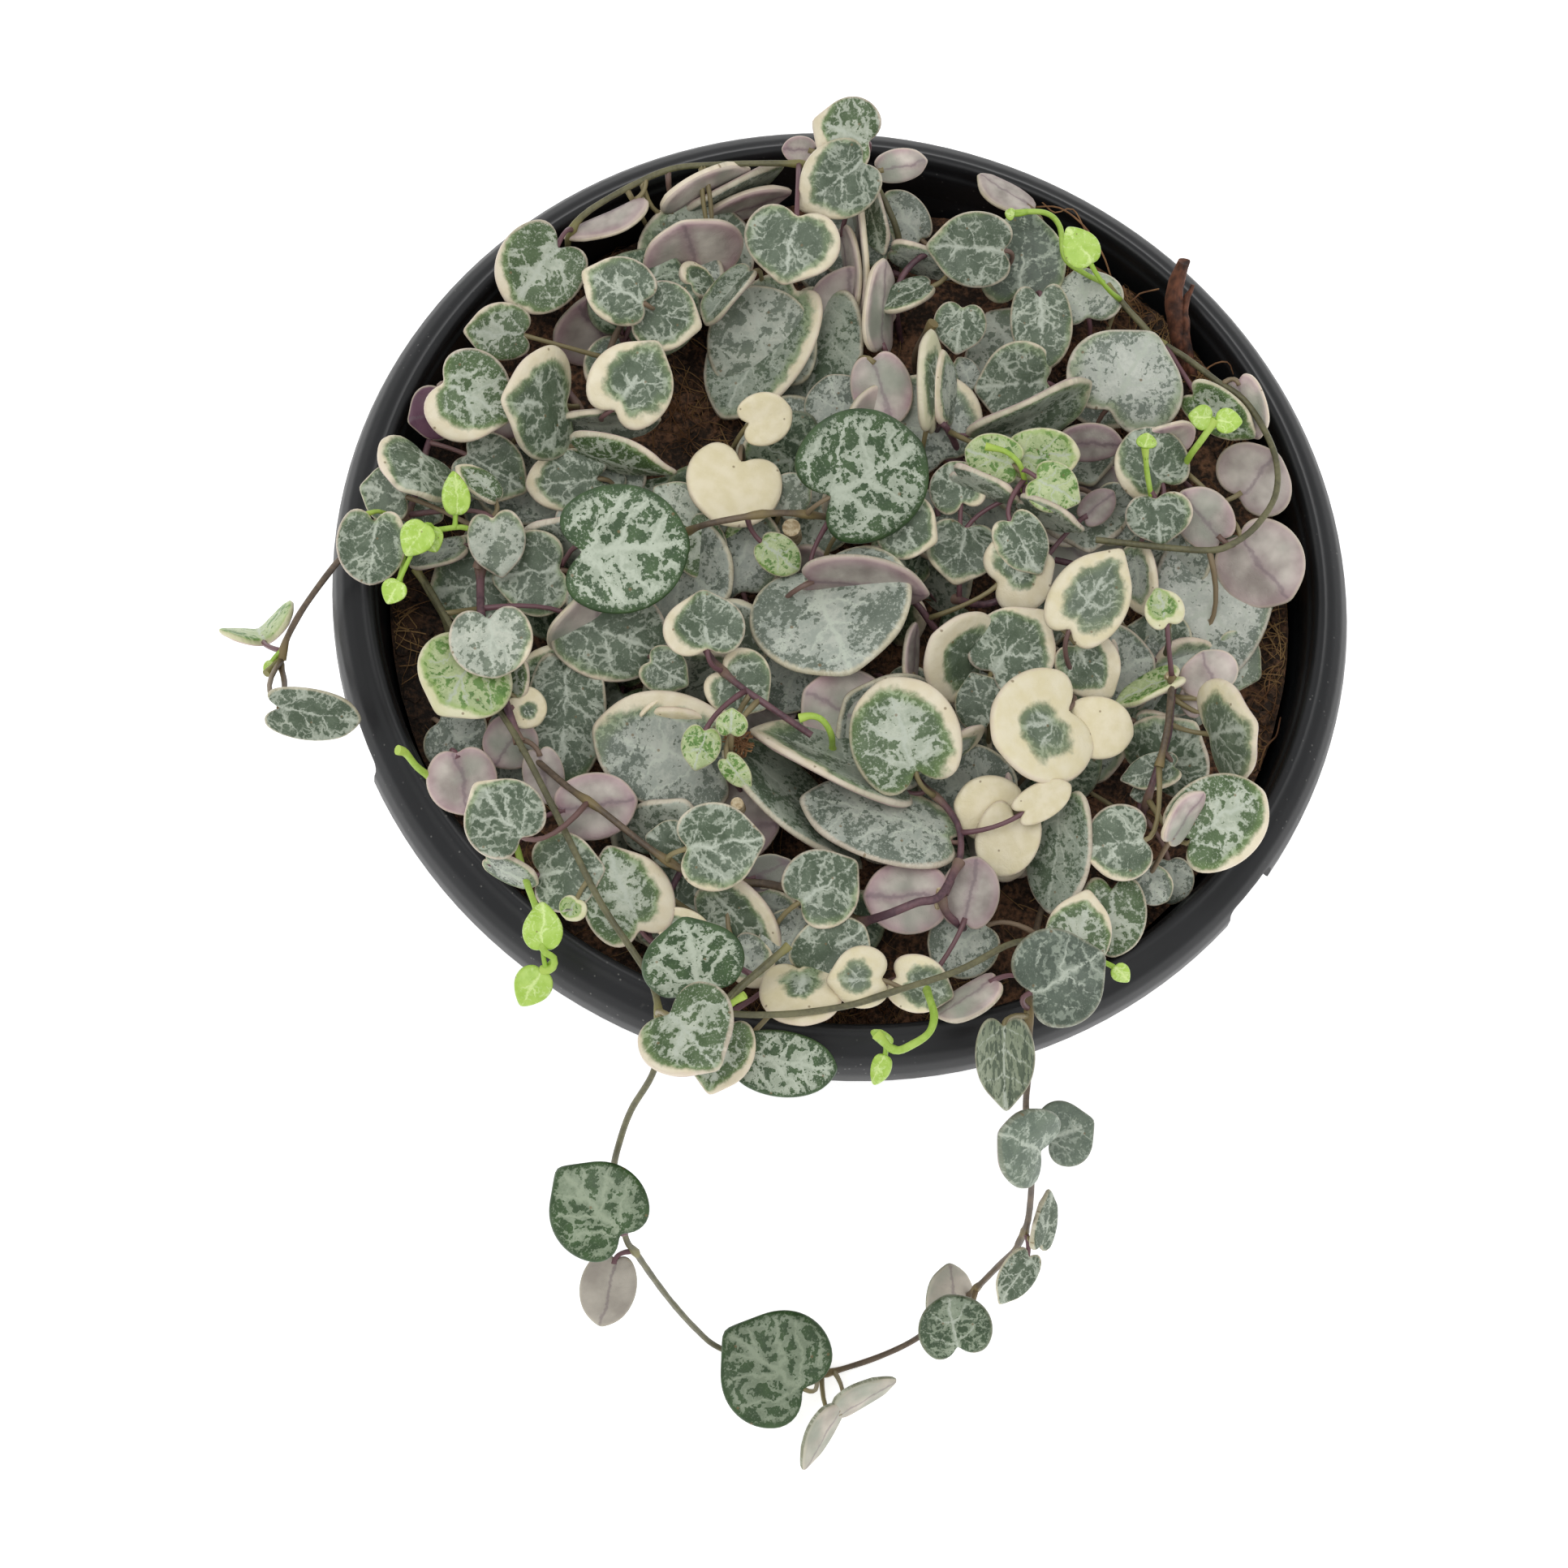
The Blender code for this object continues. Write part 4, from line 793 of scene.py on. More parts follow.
def at(x, y, height):
    """The place that a picture point shows at a height in millimetres."""
    ray = sight(x, y)
    return EYE + ray * ((height * MM - EYE.z) / ray.z)


def depth_of(place):
    """How far a place lies ahead of the eye."""
    return (place - EYE).dot(EYE_FORWARD)


def smooth_route(points, step):
    """Points about a step apart on a smooth curve through the given ones."""
    padded = [2 * points[0] - points[1], *points, 2 * points[-1] - points[-2]]
    route = [points[0]]
    for before, start, end, after in zip(padded, padded[1:], padded[2:], padded[3:]):
        pieces = max(1, round((end - start).length / step))
        for piece in range(1, pieces + 1):
            t = piece / pieces
            place = 0.5 * (
                2 * start
                + (end - before) * t
                + (2 * before - 5 * start + 4 * end - after) * t**2
                + (3 * start - before - 3 * end + after) * t**3
            )
            route.append(place)
    return route


def nearest_on(route, place):
    """The point of a route nearest to a place."""
    best = route[0]
    for start, end in zip(route, route[1:]):
        along = end - start
        share = max(0.0, min(1.0, (place - start).dot(along) / along.length_squared))
        point = start + share * along
        if (point - place).length < (best - place).length:
            best = point
    return best


def blade_frame(notch_x, notch_y, tip_x, tip_y, width, height, lean):
    """The notch's place, the blade's along, side and normal directions, its width and its length,
    and whether it faces the eye."""
    notch = at(notch_x, notch_y, height)
    unit = depth_of(notch) / EYE_FOCAL
    seen_width = width * unit
    seen_length = math.hypot(tip_x - notch_x, tip_y - notch_y) * unit
    ratio = seen_length / seen_width
    ray = sight(tip_x, tip_y)
    tip = EYE + ray * depth_of(notch)
    roll = 0.0
    if ratio < LEAST_ASPECT:
        length = USUAL_ASPECT * seen_width
        swing = math.sqrt(length**2 - seen_length**2)
        tip = tip + ray.normalized() * (swing if lean == "down" else -swing)
        true_width = seen_width
    elif ratio > MOST_ASPECT:
        length = seen_length
        true_width = max(seen_width, length / ROLLED_ASPECT)
        roll = math.acos(min(1.0, seen_width / true_width)) * (-1 if lean == "left" else 1)
    else:
        length = seen_length
        true_width = seen_width
    along = (tip - notch).normalized()
    side = ray.cross(along).normalized()
    side.rotate(Matrix.Rotation(roll, 3, along))
    normal = side.cross(along)
    if lean == "under":
        side, normal = -side, -normal
    return notch, along, side, normal, true_width, length, LEAST_ASPECT <= ratio <= MOST_ASPECT


class Wire:
    """A shader socket that takes part in Python expressions."""

    def __init__(self, finish, socket):
        self.finish = finish
        self.socket = socket

    def maths(self, operation, *others):
        sockets = {0: self}
        sockets.update({index + 1: other for index, other in enumerate(others)})
        return self.finish.add("Math", {"operation": operation}, sockets)

    def reflected(self, operation, other):
        return self.finish.add("Math", {"operation": operation}, {0: other, 1: self})

    def __add__(self, other):
        return self.maths("ADD", other)

    __radd__ = __add__

    def __mul__(self, other):
        return self.maths("MULTIPLY", other)

    __rmul__ = __mul__

    def __sub__(self, other):
        return self.maths("SUBTRACT", other)

    def __rsub__(self, other):
        return self.reflected("SUBTRACT", other)

    def __truediv__(self, other):
        return self.maths("DIVIDE", other)

    def __abs__(self):
        return self.maths("ABSOLUTE")

    def least(self, other):
        return self.maths("MINIMUM", other)

    def most(self, other):
        return self.maths("MAXIMUM", other)

    def fraction(self):
        return self.maths("FRACT")

    def rise(self, low, high):
        """0 below low, 1 above high, and smooth between them; high may be the smaller one."""
        settings = {"interpolation_type": "SMOOTHSTEP"}
        sockets = {"Value": self, "From Min": low, "From Max": high}
        return self.finish.add("MapRange", settings, sockets)


class Finish:
    """A material being made: add() puts any node into it and gives a wire from one of its outputs."""

    def __init__(self, name):
        self.material = bpy.data.materials.new(name)
        self.material.use_nodes = True
        self.tree = self.material.node_tree
        self.shader = self.tree.nodes["Principled BSDF"]

    def add(self, kind, settings=None, sockets=None, output=0):
        node = self.tree.nodes.new("ShaderNode" + kind)
        for name, value in (settings or {}).items():
            setattr(node, name, value)
        for name, value in (sockets or {}).items():
            self.feed(node.inputs[name], value)
        return Wire(self, node.outputs[output])

    def feed(self, socket, value):
        if isinstance(value, Wire):
            self.tree.links.new(value.socket, socket)
        else:
            socket.default_value = value

    def place(self):
        return self.add("TexCoord", output="Object")

    def marks(self, name):
        """The three values of a vector attribute, after the vector itself."""
        vector = self.add("Attribute", {"attribute_name": name}, output="Vector")
        return vector, *(self.add("SeparateXYZ", None, {0: vector}, index) for index in range(3))

    def noise(self, place, scale, detail=2.0, roughness=0.5):
        sockets = {"Vector": place, "Scale": scale, "Detail": detail, "Roughness": roughness}
        return self.add("TexNoise", None, sockets, "Fac")

    def spots(self, place, scale, feature="F1"):
        settings = {"feature": feature, "voronoi_dimensions": "2D"}
        return self.add("TexVoronoi", settings, {"Vector": place, "Scale": scale}, "Distance")

    def mix(self, first, second, share):
        return self.add("Mix", {"data_type": "RGBA"}, {0: share, 6: first, 7: second}, 2)

    def between(self, pair, share):
        """A colour between the two of a pair of codes."""
        return self.mix(paint(pair[0]), paint(pair[1]), share)

    def vector(self, operation, first, second):
        key = "Scale" if operation == "SCALE" else 1
        return self.add("VectorMath", {"operation": operation}, {0: first, key: second})

    def bump(self, height, strength, distance):
        sockets = {"Height": height, "Strength": strength, "Distance": distance}
        return self.add("Bump", None, sockets, "Normal")

    def dress(self, **sockets):
        """Sets the shader's own sockets, with underscores for the spaces in their names."""
        for name, value in sockets.items():
            self.feed(self.shader.inputs[name.replace("_", " ")], value)
        return self.material


def leaf_finish(look):
    """A leaf's material: silver ground, dark cells between pale veins, a cream part and its own back.

    It reads three vector attributes of the blade: flat (across, ahead, seed), marks (rim, under, stalk)
    and shade (cream, tone, pink). One unit of flat is about twelve millimetres.
    """
    tones = {**PLAIN_LOOK, **LOOKS[look]}
    finish = Finish("leaf_" + look)
    flat, across, ahead, seed = finish.marks("flat")
    _, rim, under, stalk = finish.marks("marks")
    _, cream, tone, pink = finish.marks("shade")
    stretch = finish.vector("MULTIPLY", flat, (1.0, tones["stretch"], 0.0))
    start = finish.add("CombineXYZ", None, {0: seed * 17.3, 1: seed * 9.1})
    spot = finish.vector("ADD", stretch, start)
    wave = finish.add("TexNoise", None, {"Vector": spot, "Scale": 3.4, "Detail": 1.0}, "Color")
    ripple = finish.add("TexNoise", None, {"Vector": spot, "Scale": 15.0, "Detail": 2.0}, "Color")
    wave = finish.vector("SCALE", finish.vector("SUBTRACT", wave, (0.5,) * 3), 0.34)
    ripple = finish.vector("SCALE", finish.vector("SUBTRACT", ripple, (0.5,) * 3), 0.14)
    shift = finish.vector("ADD", wave, ripple)
    bent = finish.vector("ADD", spot, shift)
    shift_across, shift_ahead = (finish.add("SeparateXYZ", None, {0: shift}, index) for index in range(2))
    grain = finish.noise(spot, 18.0, 3.0, 0.66)
    cloud = finish.noise(spot, 5.0, 3.0)
    patches = finish.noise(bent, 2.7, 2.0)

    reach_out = abs(across + shift_across * 0.5)
    lean_of_veins = (ahead + shift_ahead - 0.85 * reach_out) / 0.31
    side_veins = abs((lean_of_veins + 0.5).fraction() - 0.5) * 0.24
    midrib = reach_out
    main = (midrib * 0.8).least(side_veins + rim * 0.015) - tones["vein"]
    cells = finish.spots(bent, tones["cells"], "DISTANCE_TO_EDGE") * (1 / tones["cells"])
    field = (
        main.least(cells)
        + (grain - 0.5) * tones["ragged"]
        + (patches - 0.5) * tones["drift"]
        + (rim - 0.55) * tones["outward"]
    )
    dark_share = field.rise(tones["cover"] - tones["soft"], tones["cover"] + tones["soft"])
    band = (rim + (grain - 0.5) * 0.45).rise(0.84, 0.93) * tones["band"]
    dark_share = dark_share.most(band)
    flecks = finish.noise(spot, 40.0, 2.0, 0.6)
    pale_flecks = flecks.rise(0.56, 0.66) * (rim.rise(0.35, 0.85) * 0.75 + 0.25) * tones["specks"]
    dark_share = dark_share * (1 - pale_flecks * (1 - rim.rise(0.93, 0.97) * tones["band"]))
    dark_share = dark_share.most(flecks.rise(0.40, 0.33) * (0.35 * tones["specks"]) * rim.rise(0.2, 0.8))

    dark = finish.between(tones["dark"], cloud.rise(0.35, 0.65))
    ground = finish.between(tones["ground"], (grain + cloud - 0.5).rise(0.3, 0.7))
    lanes = main.rise(0.012, -0.014) * (1 - band) * grain.rise(0.30, 0.46)
    ground = finish.mix(ground, paint(tones["vein_tone"]), lanes * 0.8)
    colour = finish.mix(ground, dark, dark_share)

    ragged_cream = cream + (finish.noise(spot, 4.2, 4.0, 0.6) - 0.5) * 0.5
    margin = finish.between(tones["margin"], cloud.rise(0.3, 0.7))
    fringe = ragged_cream.rise(-0.24, 0.0)
    fringe_green = finish.mix(paint(tones["fresh"]), dark, dark_share * 0.45)
    colour = finish.mix(colour, fringe_green, fringe * 0.6)
    colour = finish.mix(colour, margin, ragged_cream.rise(-0.05, 0.13))
    line = finish.mix(margin, paint("#dcc4bd"), pink * 0.6)
    colour = finish.mix(colour, line, (rim + (grain - 0.5) * 0.08).rise(0.92, 0.985) * tones["line"])
    brown = finish.spots(spot, 1.7).rise(0.035, 0.015)
    colour = finish.mix(colour, paint("#75603c"), brown * 0.7)

    back_cloud = finish.noise(spot, 2.2, 3.0)
    back = finish.between(tones["back"], back_cloud.rise(0.3, 0.7))
    back = finish.mix(back, paint("#b18493"), rim.rise(0.55, 1.0) * pink * 0.6)
    back = finish.mix(back, paint("#94747f"), midrib.rise(0.12, 0.01) * pink * 0.55)
    green_cloud = (finish.noise(spot, 1.3) + tone * 0.2).rise(0.52, 0.75)
    back = finish.mix(back, paint("#8b9585"), green_cloud * 0.7)
    back = finish.mix(back, paint("#6f5f66"), midrib.rise(0.04, 0.005) * 0.5)
    back = finish.mix(back, line, rim.rise(0.90, 0.98) * tones["line"] * 0.7)
    if look == "lime":
        back = finish.between(tones["back"], back_cloud)
    colour = finish.mix(colour, back, under.rise(0.35, 0.65))
    stem = finish.between(STEM_TONES["petiole"], seed.rise(0.2, 0.8))
    if look == "lime":
        stem = paint(STEM_TONES["lime"][0])
    colour = finish.mix(colour, stem, stalk.rise(0.4, 0.6))
    colour = finish.vector("SCALE", colour, 1.0 + tone * (0.10 + under * 0.17))

    height = dark_share * 0.25 + finish.noise(spot, 70.0) * 0.25 + finish.noise(spot, 9.0) * 0.5
    return finish.dress(
        Base_Color=colour, Roughness=tones["rough"] + (grain - 0.5) * 0.2 + under * 0.12,
        Normal=finish.bump(height, 0.35, 0.25 * MM),
    )


def stem_finish(name):
    """Bark of a thin stem: two mixed tones with fine specks, and a third where leaves join it."""
    low, high, knot = (paint(code) for code in STEM_TONES[name])
    finish = Finish("stem_" + name)
    place = finish.place()
    cloud = finish.noise(place, 260.0, 4.0)
    specks = finish.noise(place, 1900.0, 2.0)
    _, swelling, _, _ = finish.marks("knot")
    colour = finish.mix(low, high, (cloud + (specks - 0.5) * 0.6).rise(0.3, 0.7))
    colour = finish.mix(colour, knot, swelling * 0.8)
    return finish.dress(
        Base_Color=colour, Roughness=0.5 + (specks - 0.5) * 0.2,
        Normal=finish.bump(specks * 0.5 + cloud, 0.3, 0.2 * MM),
    )


def pot_finish(colour, dust):
    """Black moulded plastic: satin, with fine scuffs and pale dust specks."""
    finish = Finish("pot_plastic")
    place = finish.place()
    cloud = finish.noise(place, 55.0, 4.0)
    fine = finish.noise(place, 900.0, 3.0)
    long_way = finish.add("Mapping", None, {"Vector": place, "Scale": (1.0, 1.0, 0.16)})
    scuffs = finish.noise(long_way, 700.0, 5.0).rise(0.66, 0.80) * cloud.rise(0.45, 0.65)
    settings = {"feature": "F1", "voronoi_dimensions": "3D"}
    motes = finish.add("TexVoronoi", settings, {"Vector": place, "Scale": 760.0}, "Distance")
    specks = motes.rise(0.15, 0.06) * cloud.rise(0.50, 0.62)
    base = finish.mix((*colour, 1.0), paint("#2a2b2e"), cloud.rise(0.3, 0.75) * 0.3)
    base = finish.mix(base, paint("#8d8c88"), (specks * 0.8 + scuffs * 0.25) * dust)
    return finish.dress(
        Base_Color=base, Roughness=0.34 + cloud * 0.14 + scuffs * 0.2, Specular_IOR_Level=0.33,
        Normal=finish.bump(fine * 0.6 + cloud, 0.12, 0.3 * MM),
    )


def soil_finish(low, high):
    """Dark coir and peat: crumbs of several browns, with painted shade that darkens the soil towards the
    wall on the left.
    """
    finish = Finish("coir_soil")
    place = finish.place()
    cloud = finish.noise(place, 180.0, 6.0)
    fine = finish.noise(place, 1400.0, 4.0)
    colour = finish.mix((*low, 1.0), (*high, 1.0), (cloud * 0.5 + fine * 0.5).rise(0.42, 0.66))
    colour = finish.mix(colour, paint("#7a5838"), fine.rise(0.68, 0.76) * 0.6)
    # Painted shade: the soil is darkened to four tenths of its colour towards the wall on the left, as x
    # falls from -50 to -62 mm.
    left = finish.add("SeparateXYZ", None, {0: place}, 0)
    colour = finish.vector("SCALE", colour, 1 - left.rise(-0.050, -0.062) * 0.6)
    return finish.dress(
        Base_Color=colour, Roughness=0.95, Normal=finish.bump(fine + cloud, 0.8, 0.8 * MM),
    )


def fibre_finish(low, high):
    """Dry coir fibre, paler towards some of its strands."""
    finish = Finish("coir_fibre")
    place = finish.place()
    cloud = finish.noise(place, 90.0, 2.0)
    fine = finish.noise(place, 800.0, 2.0)
    colour = finish.between((low, high), (cloud * 0.8 + fine * 0.2).rise(0.35, 0.68))
    return finish.dress(Base_Color=colour, Roughness=0.8, Normal=finish.bump(fine, 0.3, 0.1 * MM))


def bark_finish():
    """Reddish brown bark of the dried stem, split lengthwise."""
    finish = Finish("dry_bark")
    place = finish.place()
    turned = finish.add(
        "Mapping", None, {"Vector": place, "Rotation": (0.2, 0.3, 0.0), "Scale": (1.0, 1.0, 0.2)}
    )
    strands = finish.noise(turned, 900.0, 5.0)
    cloud = finish.noise(place, 220.0, 3.0)
    colour = finish.between(("#3d241a", "#7a4b35"), (strands * 0.7 + cloud * 0.3).rise(0.38, 0.66))
    colour = finish.mix(colour, paint("#1f1310"), strands.rise(0.40, 0.32) * 0.8)
    return finish.dress(
        Base_Color=colour, Roughness=0.72, Normal=finish.bump(strands, 0.7, 0.6 * MM),
    )


def cut_finish():
    """The pale dry face of a cut stem."""
    finish = Finish("cut_stem")
    place = finish.place()
    fine = finish.noise(place, 1600.0, 3.0)
    colour = finish.between(("#a58f6b", "#d0c1a0"), fine.rise(0.35, 0.65))
    return finish.dress(Base_Color=colour, Roughness=0.8, Normal=finish.bump(fine, 0.5, 0.2 * MM))


def deselect():
    if bpy.context.mode != "OBJECT":
        bpy.ops.object.mode_set(mode="OBJECT")
    bpy.ops.object.select_all(action="DESELECT")


def pick(item):
    """Selects one piece alone and makes it the active one."""
    deselect()
    item.select_set(True)
    bpy.context.view_layer.objects.active = item


def added(name, data):
    """A new object of the scene."""
    item = bpy.data.objects.new(name, data)
    bpy.context.scene.collection.objects.link(item)
    return item


def edit(item):
    """Opens a piece in edit mode with all of it selected."""
    pick(item)
    bpy.ops.object.mode_set(mode="EDIT")
    bpy.ops.mesh.select_all(action="SELECT")


def close_edit():
    bpy.ops.object.mode_set(mode="OBJECT")


def modify(item, kind, **settings):
    """Adds a modifier, sets it and applies it."""
    pick(item)
    modifier = item.modifiers.new(kind.lower(), kind)
    for name, value in settings.items():
        setattr(modifier, name, value)
    bpy.ops.object.modifier_apply(modifier=modifier.name)


def join(items):
    """Joins pieces into the first one."""
    deselect()
    for item in items:
        item.select_set(True)
    bpy.context.view_layer.objects.active = items[0]
    bpy.ops.object.join()
    return items[0]


def settle(item, name, finish, slot, *nodes, smooth_angle=50.0):
    """Names a finished piece, dresses it, and puts it in the frame with the nodes that it stands for."""
    pick(item)
    bpy.ops.object.transform_apply(location=True, rotation=True, scale=True)
    bpy.ops.object.shade_smooth_by_angle(angle=math.radians(smooth_angle))
    item.name = name
    item.data.name = name
    item.data.materials.clear()
    item.data.materials.append(finish)
    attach(item, BODY)
    if nodes:
        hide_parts(*nodes)
    return item


def read_points(mesh):
    points = np.empty(len(mesh.vertices) * 3)
    mesh.vertices.foreach_get("co", points)
    return points.reshape(-1, 3)


def write_points(mesh, points):
    mesh.vertices.foreach_set("co", np.asarray(points, dtype=np.float32).ravel())
    mesh.update()


def write_vector(mesh, name, *columns):
    """Stores three values for each point as a vector attribute."""
    layer = mesh.attributes.new(name, "FLOAT_VECTOR", "POINT")
    layer.data.foreach_set("vector", np.stack(columns, axis=1).astype(np.float32).ravel())


def tube(name, route, radii, resolution):
    """A closed round tube along a route, with a radius at each of its points."""
    curve = bpy.data.curves.new(name, "CURVE")
    curve.dimensions = "3D"
    curve.bevel_depth = 1.0
    curve.bevel_resolution = resolution
    curve.use_fill_caps = True
    spline = curve.splines.new("POLY")
    spline.points.add(len(route) - 1)
    for point, place, radius in zip(spline.points, route, radii):
        point.co = (*place, 1)
        point.radius = radius
    item = added(name, curve)
    pick(item)
    bpy.ops.object.convert(target="MESH")
    edit(item)
    bpy.ops.mesh.remove_doubles(threshold=MERGE_REACH)
    close_edit()
    return item


def spun(name, outline, steps):
    """A shape turned about the vertical axis from a closed outline of (radius, height) points."""
    deselect()
    bpy.ops.mesh.primitive_circle_add(vertices=len(outline), radius=1, fill_type="NOTHING")
    item = bpy.context.object
    item.name = name
    for vertex, (radius, height) in zip(item.data.vertices, outline):
        vertex.co = (radius, 0, height)
    edit(item)
    bpy.ops.mesh.spin(steps=steps, angle=math.tau, center=(0, 0, 0), axis=(0, 0, 1))
    bpy.ops.mesh.select_all(action="SELECT")
    bpy.ops.mesh.remove_doubles(threshold=MERGE_REACH)
    bpy.ops.mesh.dissolve_degenerate(threshold=MERGE_REACH)
    bpy.ops.mesh.normals_make_consistent(inside=False)
    close_edit()
    return item


def wall_radius(height):
    """The outer radius of the tapered wall at a height."""
    share = height / (POT_HEIGHT - SKIRT_DROP)
    return BASE_RADIUS + (WALL_TOP_RADIUS - BASE_RADIUS) * share


def eased(corners, radius, steps=3):
    """An outline with its corners rounded: (radius, height) points, each corner cut by short arcs."""
    eased_outline = []
    count = len(corners)
    for index, corner in enumerate(corners):
        here = Vector(corner)
        if here.x < MM:
            eased_outline.append(tuple(here))
            continue
        before = Vector(corners[index - 1])
        after = Vector(corners[(index + 1) % count])
        reach = min(radius, 0.4 * (before - here).length, 0.4 * (after - here).length)
        first = here + (before - here).normalized() * reach
        last = here + (after - here).normalized() * reach
        for step in range(steps + 1):
            t = step / steps
            eased_outline.append(tuple((1 - t) ** 2 * first + 2 * t * (1 - t) * here + t**2 * last))
    return eased_outline


def pot_outline():
    """The pot's section: floor, tapered wall, rolled rim with its ridge, and the skirt outside it."""
    top = POT_HEIGHT
    inner_rim = RIM_RADIUS - RIM_WIDTH
    inner_top = WALL_TOP_RADIUS - WALL_THICKNESS
    return (
        (0, 0),
        (BASE_RADIUS - BASE_CORNER, 0),
        (wall_radius(BASE_CORNER), BASE_CORNER),
        (WALL_TOP_RADIUS, top - SKIRT_DROP),
        (WALL_TOP_RADIUS + 0.3 * MM, top - 3.2 * MM),
        (RIM_RADIUS + 0.5 * MM, top - 2.6 * MM),
        (SHOULDER_RADIUS - 1.8 * MM, top - 3.6 * MM),
        (SHOULDER_RADIUS - 0.6 * MM, top - 5.2 * MM),
        (SKIRT_RADIUS - SKIRT_THICKNESS, top - SKIRT_DROP),
        (SKIRT_RADIUS, top - SKIRT_DROP),
        (SKIRT_RADIUS - 0.1 * MM, top - 6.0 * MM),
        (SHOULDER_RADIUS + 0.3 * MM, top - 3.9 * MM),
        (SHOULDER_RADIUS - 0.7 * MM, top - 2.3 * MM),
        (SHOULDER_RADIUS - 2.1 * MM, top - 1.2 * MM),
        (RIM_RADIUS + 0.2 * MM, top - 0.75 * MM),
        (RIM_RADIUS - 0.35 * MM, top - 0.1 * MM),
        (RIM_RADIUS - 0.8 * MM, top),
        (inner_rim + 0.45 * MM, top - 0.2 * MM),
        (inner_rim + 0.1 * MM, top - 0.9 * MM),
        (inner_rim, top - 2.4 * MM),
        (inner_rim - 0.5 * MM, top - 3.0 * MM),
        (inner_top, top - SKIRT_DROP),
        (wall_radius(FLOOR_THICKNESS) - WALL_THICKNESS, FLOOR_THICKNESS),
        (0, FLOOR_THICKNESS),
    )


def blade_mould(form, thickness_share=0.10, grid=8):
    """A flat blade one unit wide and one unit from notch to tip, with a stalk beside it.

    A square grid is drawn out to the blade's outline, thickened and smoothed. Its stalk is a column of
    rings one unit tall, which each leaf later lays along its own way to the stem.
    """
    tip_out, tip_span, notch_in, notch_span, oval, weight = BLADE_FORMS[form]
    deselect()
    bpy.ops.mesh.primitive_grid_add(x_subdivisions=grid, y_subdivisions=grid, size=2)
    blade = bpy.context.object
    for vertex in blade.data.vertices:
        u, v = vertex.co.x, vertex.co.y
        across = u * math.sqrt(1 - v * v / 2)
        ahead = v * math.sqrt(1 - u * u / 2)
        angle = abs(math.atan2(across, ahead))
        tip = max(0.0, 1 - angle / tip_span)
        notch = max(0.0, 1 - (math.pi - angle) / notch_span)
        reach = (
            1 + tip_out * tip**2 - notch_in * notch**1.6
            + oval * math.cos(2 * angle) + weight * math.cos(angle)
        )
        vertex.co = (across * reach, ahead * reach, 0)
    modify(blade, "SOLIDIFY", thickness=2 * thickness_share, offset=0.0)
    modify(blade, "SUBSURF", levels=1, render_levels=1)
    points = read_points(blade.data)
    middle = points[np.abs(points[:, 0]) < 0.02]
    notch_line = middle[:, 1].min()
    points[:, 1] = (points[:, 1] - notch_line) / (middle[:, 1].max() - notch_line)
    points[:, 0] /= points[:, 0].max() - points[:, 0].min()
    points[:, 2] /= np.abs(points[:, 2]).max()
    write_points(blade.data, points)
    blade_points = len(points)
    deselect()
    bpy.ops.mesh.primitive_cylinder_add(
        vertices=6, radius=1, depth=1, location=(0, 0, 0.5), end_fill_type="NGON"
    )
    stalk = bpy.context.object
    bpy.ops.object.transform_apply(location=True)
    edit(stalk)
    for ring in range(1, STALK_RINGS):
        bpy.ops.mesh.select_all(action="SELECT")
        bpy.ops.mesh.bisect(plane_co=(0, 0, ring / STALK_RINGS), plane_no=(0, 0, 1))
    close_edit()
    mould = join([blade, stalk])
    mould.name = "mould_" + form
    return mould.data, blade_points


def rim_of(points):
    """0 at the middle of a blade and 1 at its edge, by direction from the middle."""
    across = points[:, 0]
    ahead = points[:, 1] - BLADE_MIDDLE
    angle = np.arctan2(across, ahead)
    reach = np.hypot(across, ahead)
    edges = np.linspace(-math.pi, math.pi, 49)
    middles = (edges[1:] + edges[:-1]) / 2
    farthest = np.array([
        reach[(angle >= low) & (angle <= high)].max(initial=0.01) for low, high in zip(edges, edges[1:])
    ])
    return np.clip(reach / np.interp(angle, middles, farthest, period=math.tau), 0, 1)


